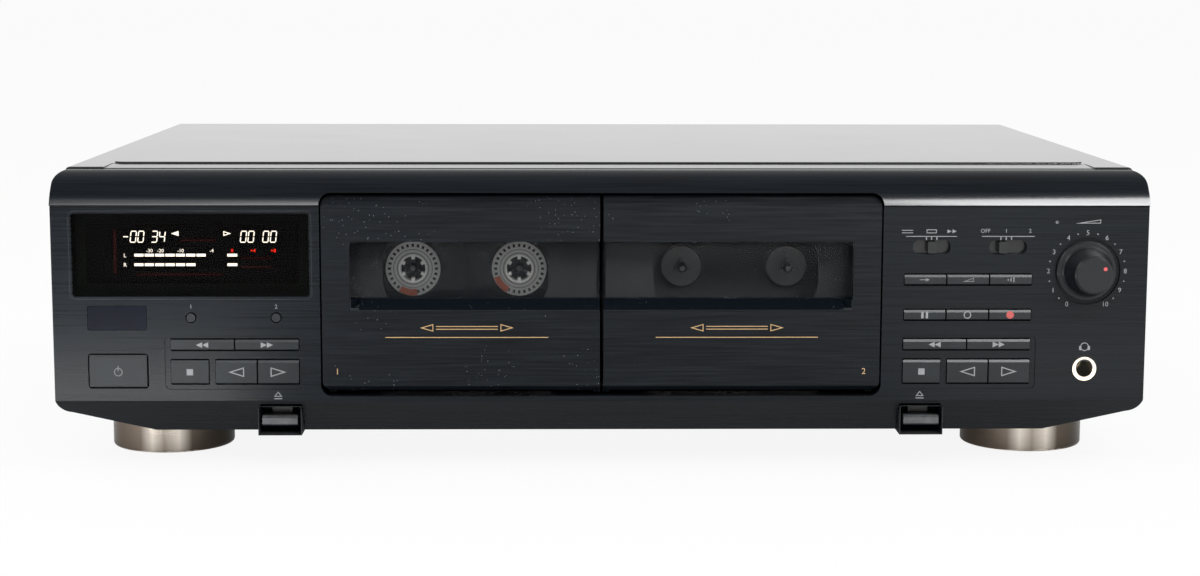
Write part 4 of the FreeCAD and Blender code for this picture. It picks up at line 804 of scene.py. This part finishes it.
# %% Brackets and signs of the slide switches
switch_marks = bmesh.new()
bracket_up, tick_foot = 94.6, 93.2
for left, right, ticks in ((119.3, 139.4, (127.4, 129.4, 131.5)), (149.2, 170.0, (156.7, 158.8, 160.9))):
    stamp(switch_marks, box_outline(right - left, 0.28), 0.01, (left + right) / 2, bracket_up)
    for tick in ticks:
        tick_shape = box_outline(0.4, bracket_up - tick_foot)
        stamp(switch_marks, tick_shape, 0.01, tick, (bracket_up + tick_foot) / 2)
for row in (-0.5, 0.5):
    stamp(switch_marks, box_outline(4.4, 0.28), 0.01, 119.9, 96.5 + row)
stamp(switch_marks, box_outline(4.0, 1.5), 0.01, 129.4, 96.6, 0.28)
stamp(switch_marks, arrow(1.6, 1.5, 1), 0.01, 136.4, 96.6)
stamp(switch_marks, arrow(1.6, 1.5, 1), 0.01, 138.4, 96.6)
for words, across in (("OFF", 150.6), ("1", 158.8), ("2", 168.2)):
    letters(switch_marks, words, 2.2, across, 0.01, 96.7)
piece("switch_marks", switch_marks, grey_ink, "case")

# %% Level wedge, headphone sign and eject signs
other_marks = bmesh.new()
stamp(other_marks, [(-5.0, -0.7), (5.0, -0.7), (5.0, 0.9)], 0.01, 191.0, 100.4, 0.28)
ring(other_marks, 178.7, 0.01, 100.2, 0.55, 0.22, 14)
ring(other_marks, 191.0, 0.01, 50.7, 1.7, 0.3)
for side in (-1, 1):
    stamp(other_marks, box_outline(0.9, 1.6), -0.05, 191.0 + 1.7 * side, 50.2)
for across in (-127.45, 126.0):
    stamp(other_marks, [(-1.6, -0.9), (1.6, -0.9), (0, 1.2)], 0.01, across, 31.9, 0.3)
    stamp(other_marks, box_outline(3.2, 0.35), 0.01, across, 30.2)
for node in ("reset_button_a", "reset_button_b"):
    across, deep, up = middle(node)
    letters(other_marks, "1" if node.endswith("a") else "2", 2.3, across, 0.01, up + 4.3)
piece("panel_marks", other_marks, grey_ink, "case")

# %% [markdown]
# ## Gold print on the doors
# Both doors have gold print under the window: a pair of hollow arrows with a double line between
# them, and a long thin line below. A plain number in the lower outer corner tells the decks apart.

# %% Door print
for deck, centre, label in (("a", -53.0, -104.0), ("b", 53.3, 103.6)):
    door_print = bmesh.new()
    half = 18.4
    for way in (-1, 1):
        stamp(door_print, arrow(5.2, 3.0, way), 0.01, centre + (half - 2.6) * way, 58.4, 0.32)
    for row in (-0.55, 0.55):
        stamp(door_print, box_outline(2 * half - 12.5, 0.3), 0.01, centre, 58.4 + row)
    stamp(door_print, box_outline(64.0, 0.3), 0.01, centre, 54.6)
    letters(door_print, "1" if deck == "a" else "2", 3.4, label, 0.01, 40.9)
    piece("door_print_" + deck, door_print, gold_ink, "door_" + deck)

# %% [markdown]
# ## The display
# The display is a glass tube behind the dark window. Its figures are slanted and built from seven
# strokes each, and two rows of dashes show the level of the two channels. The places are read on the
# window, so each is carried back along the line of sight to the glass, a few millimetres behind.

# %% Seven strokes to a figure
tube_deep = middle("display_tube")[1]
strokes_of = {"0": "abcdef", "3": "abcdg", "4": "bcfg", "-": "g"}
figure_width, figure_height, figure_slant, stroke = 2.1, 4.3, 0.12, 0.42


def behind(across, up, deep):
    """Where the line of sight through a place on the face meets a plane deep behind it."""
    further = (deep - seen_from[1]) / -seen_from[1]
    seen_across, _, seen_up = seen_from
    return seen_across + (across - seen_across) * further, seen_up + (up - seen_up) * further


def figure(bm, name, left, foot):
    """One slanted figure of the display, with its lower left corner at (left, foot) on the face."""
    w, h, m = figure_width, figure_height, figure_height / 2
    ends = {"a": (0, h, w, h), "b": (w, m, w, h), "c": (w, 0, w, m), "d": (0, 0, w, 0),
            "e": (0, 0, 0, m), "f": (0, m, 0, h), "g": (0, m, w, m)}
    for which in strokes_of[name]:
        x0, z0, x1, z1 = ends[which]
        level = z0 == z1
        raised = (z0 + z1) / 2
        across, up = behind(left + (x0 + x1) / 2 + figure_slant * raised, foot + raised, tube_deep)
        size = (w - 0.2, stroke) if level else (stroke, m - 0.45)
        lean = 0 if level else figure_slant
        outline = [(x + z * lean, z) for x, z in box_outline(*size)]
        stamp(bm, outline, tube_deep - 0.02, across, up)


# %% Figures, arrows, dashes and scale
lit = bmesh.new()
for text, left in (("-00", -187.0), ("34", -175.8), ("00", -141.2), ("00", -132.5)):
    for index, name in enumerate(text):
        figure(lit, name, left + index * 2.95, 92.3)
for left, right, up in ((-182.75, -154.5, 87.2), (-182.85, -158.55, 83.45)):
    dashes = round((right - left) / 4.05)
    for index in range(dashes):
        across, level = behind(left + (index + 0.5) * (right - left) / dashes, up, tube_deep)
        stamp(lit, box_outline(3.6, 1.1), tube_deep - 0.02, across, level)
    across, level = behind(-144.4, up, tube_deep)
    stamp(lit, box_outline(3.9, 1.1), tube_deep - 0.02, across, level)
for place, way, hollow in ((-166.6, -1, None), (-146.2, 1, 0.35)):
    across, level = behind(place, 95.7, tube_deep)
    stamp(lit, arrow(3.0, 2.0, way), tube_deep - 0.02, across, level, hollow)
scale_up = 88.9
for words, size, place, up in (("L", 2.1, -186.2, 87.0), ("R", 2.1, -186.2, 83.3),
                               ("-30", 2.0, -176.6, scale_up), ("-20", 2.0, -172.3, scale_up),
                               ("-10", 2.0, -164.5, scale_up), ("-4", 2.0, -152.4, scale_up)):
    across, level = behind(place, up, tube_deep)
    letters(lit, words, size, across, tube_deep - 0.02, level)
piece("display_figures", lit, warm_phosphor, "case")

red_lit = bmesh.new()
for words, place in (("0", -144.4), ("+4", -136.3), ("+8", -128.4)):
    across, level = behind(place, scale_up, tube_deep)
    letters(red_lit, words, 2.0, across, tube_deep - 0.02, level)
piece("display_red_figures", red_lit, red_phosphor, "case")

idle = bmesh.new()
across, level = behind(-190.0, 88.5, tube_deep)
stamp(idle, box_outline(0.9, 17.0), tube_deep - 0.01, across, level)
for place, up, width in ((-157.5, 93.0, 14.0), (-135.0, 86.0, 12.0), (-135.0, 82.5, 12.0),
                         (-165.0, 79.6, 34.0)):
    across, level = behind(place, up, tube_deep)
    stamp(idle, box_outline(width, 0.5), tube_deep - 0.01, across, level)
piece("display_idle_lines", idle, dull_phosphor, "case")

# %% [markdown]
# ## Cassette hubs
# Each white hub has a ring of small windows near its rim, a recessed step, and a short orange mark that
# shows how far the tape has turned. The windows are painted shade: dark plates where the openings are,
# one small plate copied round the axis by spin. The step is painted shade too, as two grey rings.
# All of it rides on the hub, so it turns with the tape.

# %% Hub rings
# Painted shade: dark ink in the hub's windows and grey rings at its steps
hub_window_shade_ink = ink("painted_hub_window_shade", "16181b")
orange_ink = ink("orange_hub_print", "d05a1e")
hub_step_shade_ink = ink("grey_hub_step", "9a9b9c")
windows_round_hub = 28


def hub_marks(node, mark_angle):
    """Painted shade as dark plates in the windows and two grey rings at the steps, and an orange arc on
    the front of a hub.
    """
    across, deep, up = middle(node)
    axis_point = point(across, deep, up)
    dark = bmesh.new()
    stamp(dark, box_outline(0.95, 1.25), deep + 0.01, across, up + 9.4)
    bmesh.ops.spin(dark, geom=dark.verts[:] + dark.edges[:] + dark.faces[:], cent=axis_point,
                   axis=(0, 1, 0), angle=2 * math.pi, steps=windows_round_hub, use_duplicate=True,
                   use_merge=True)
    piece(node + "_windows", dark, hub_window_shade_ink, node)
    steps = bmesh.new()
    ring(steps, across, deep + 0.01, up, 7.9, 0.35, 48)
    ring(steps, across, deep + 0.01, up, 6.5, 0.5, 48)
    piece(node + "_steps", steps, hub_step_shade_ink, node)
    orange = bmesh.new()
    begin = orange.verts.new(axis_point + Vector((8.3 * MM, -0.08 * MM, 0)))
    end = orange.verts.new(axis_point + Vector((10.8 * MM, -0.08 * MM, 0)))
    line = orange.edges.new((begin, end))
    turn_to = Matrix.Rotation(math.radians(mark_angle), 4, "Y")
    bmesh.ops.rotate(orange, verts=[begin, end], cent=axis_point, matrix=turn_to)
    bmesh.ops.spin(orange, geom=[begin, end, line], cent=axis_point, axis=(0, 1, 0),
                   angle=math.radians(42), steps=8, use_merge=False)
    thicken(orange, orange.faces[:])
    piece(node + "_orange", orange, orange_ink, node)


hub_marks("tape_hub_left", 80)
hub_marks("tape_hub_right", 118)

# %% [markdown]
# ## Wells, beads and screws
# Small things finish the case. Behind each eject lever stands the dark wall of its well, so the table
# doesn't show through. A thin grey bead runs round the display's opening, a painted highlight where the
# moulding's edge is rounded over. The cover is held by pan-head screws at its sides, and the back by
# more of them.

# %% Wells behind the eject levers
well_deep, well_up = 11.0, 20.7
well_size = Matrix.Diagonal((0.0172, 0.0156, 0.0118, 1))
for node in ("eject_lever_a", "eject_lever_b"):
    well = bmesh.new()
    centre = point(middle(node)[0], well_deep, well_up)
    bmesh.ops.create_cube(well, size=1, matrix=Matrix.Translation(centre) @ well_size)
    front_faces = [f for f in well.faces if f.calc_center_median().y < centre.y - 7 * MM]
    bmesh.ops.delete(well, geom=front_faces, context="FACES_ONLY")
    bmesh.ops.recalc_face_normals(well, faces=well.faces)
    bmesh.ops.solidify(well, geom=well.faces[:], thickness=0.3 * MM)
    piece("eject_well_" + node[-1], well, works, "case")


# %% Bead round the display
# ABS edge, rounded over: a fine grey line, a painted highlight where the rounded edge catches light
edge_highlight_abs, tree, shader = surface("rubbed_ABS_edge", "3a3e43", 0.25)
tint(tree, shader, noise(tree, 6, detail=3.0), "1c1f22", "3c4146")
left, right, low, high = -208.1, -113.5, 69.7, 104.6
corner, bead_width, bead_height = 2.2, 0.18, 0.05
bead = bmesh.new()
corners = ((left, low), (right, low), (right, high), (left, high))
bead.faces.new([bead.verts.new(point(across, 0, up)) for across, up in corners])
bmesh.ops.bevel(bead, geom=bead.verts[:], offset=corner * MM, affect="VERTICES", segments=5, profile=0.5)
bead.faces.ensure_lookup_table()
bead.faces[0].normal_update()
thicken(bead, rim_of(bead, bead.faces[0], bead_width), bead_height)
piece("display_bead_painted_highlight", bead, edge_highlight_abs, "case")

# %% Screws of the cover and the back
screw_steel, tree, shader = surface("black_oxide_steel", "232426", 0.35, 0.8)
tint(tree, shader, noise(tree, 1, detail=3.0), "1c1d1f", "303235")


def screw(bm, place, outwards, radius=3.2):
    """A pan-head screw with a cross recess, its flat side on the place and its head outwards."""
    turned = Matrix.Translation(place) @ Vector(outwards).to_track_quat("Z", "Y").to_matrix().to_4x4()
    made = bmesh.ops.create_circle(bm, cap_ends=True, segments=24, radius=radius * MM, matrix=turned)
    head = made["verts"][0].link_faces[0]
    head.normal_update()
    for inset, rise in ((0.0, 0.7), (0.5, 0.45), (0.8, 0.15)):
        if inset:
            bmesh.ops.inset_region(bm, faces=[head], thickness=inset * MM, use_even_offset=True,
                                   use_boundary=True)
        else:
            grown = bmesh.ops.extrude_face_region(bm, geom=[head], use_keep_orig=True)
            head = next(g for g in grown["geom"] if isinstance(g, bmesh.types.BMFace))
        bmesh.ops.translate(bm, verts=list(head.verts), vec=Vector(outwards) * rise * MM)
    cross = turned @ Matrix.Translation((0, 0, 1.3 * MM))
    bar = Matrix.Diagonal((0.0026, 0.0006, 0.0002, 1))
    for turn in (0, 90):
        turned_bar = Matrix.Rotation(math.radians(turn), 4, "Z") @ bar
        bmesh.ops.create_cube(bm, size=1, matrix=cross @ turned_bar)


cover_low, cover_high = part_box("top_cover")
cover_screws = bmesh.new()
for x, way in ((cover_low.x, -1), (cover_high.x, 1)):
    for deep in (60, 245):
        screw(cover_screws, Vector((x, face + deep * MM, 0.034)), (way, 0, 0), 3.6)
piece("cover_screws", cover_screws, screw_steel, "case")

back_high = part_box("rear_panel")[1]
back_screws = bmesh.new()
for x in (-190, -90, 90, 190):
    for up in (34, 108):
        screw(back_screws, Vector((x * MM, back_high.y, up * MM)), (0, 1, 0), 2.8)
piece("back_screws", back_screws, screw_steel, "case")

# %% Coloured collars of the line sockets
jack_low, jack_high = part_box("line_jacks")
left_x, right_x = jack_low.x / MM + 8, jack_high.x / MM - 8
low_z, high_z = jack_low.z / MM + 8, jack_high.z / MM - 8
white_collar = ink("white_collar_plastic", "d8d8d4")
red_collar = ink("red_collar_plastic", "b02a24")
for name, up, material in (("white", high_z, white_collar), ("red", low_z, red_collar)):
    collars = bmesh.new()
    for x in (left_x, right_x):
        centre = Vector((x * MM, back_high.y, up * MM))
        start = collars.verts.new(centre + Vector((4.4 * MM, 0, 0)))
        rim = [collars.verts.new(centre + Vector((radius * MM, deep * MM, 0)))
               for radius, deep in ((4.4, 1.6), (6.0, 1.6), (6.0, 0))]
        line = [collars.edges.new(pair) for pair in zip([start] + rim[:-1], rim)]
        bmesh.ops.spin(collars, geom=[start] + rim + line, cent=centre, axis=(0, 1, 0),
                       angle=2 * math.pi, steps=32, use_merge=True)
    piece(name + "_collars", collars, material, "case")

# %% Red dot on the knob, with a painted glow
dot = bmesh.new()
dot_angle, dot_from_axis = math.radians(60), 4.9
dot_across = knob_across + dot_from_axis * math.sin(dot_angle)
dot_up = knob_up + dot_from_axis * math.cos(dot_angle)
ring(dot, dot_across, knob_deep + 0.05, dot_up, 0.75, segments=16)
# Painted glow: the red print of the dot is given a faint glow of its own, though it is no lamp
piece("knob_dot", dot, phosphor("red_knob_dot", "ff3030", 0.9), "level_knob")
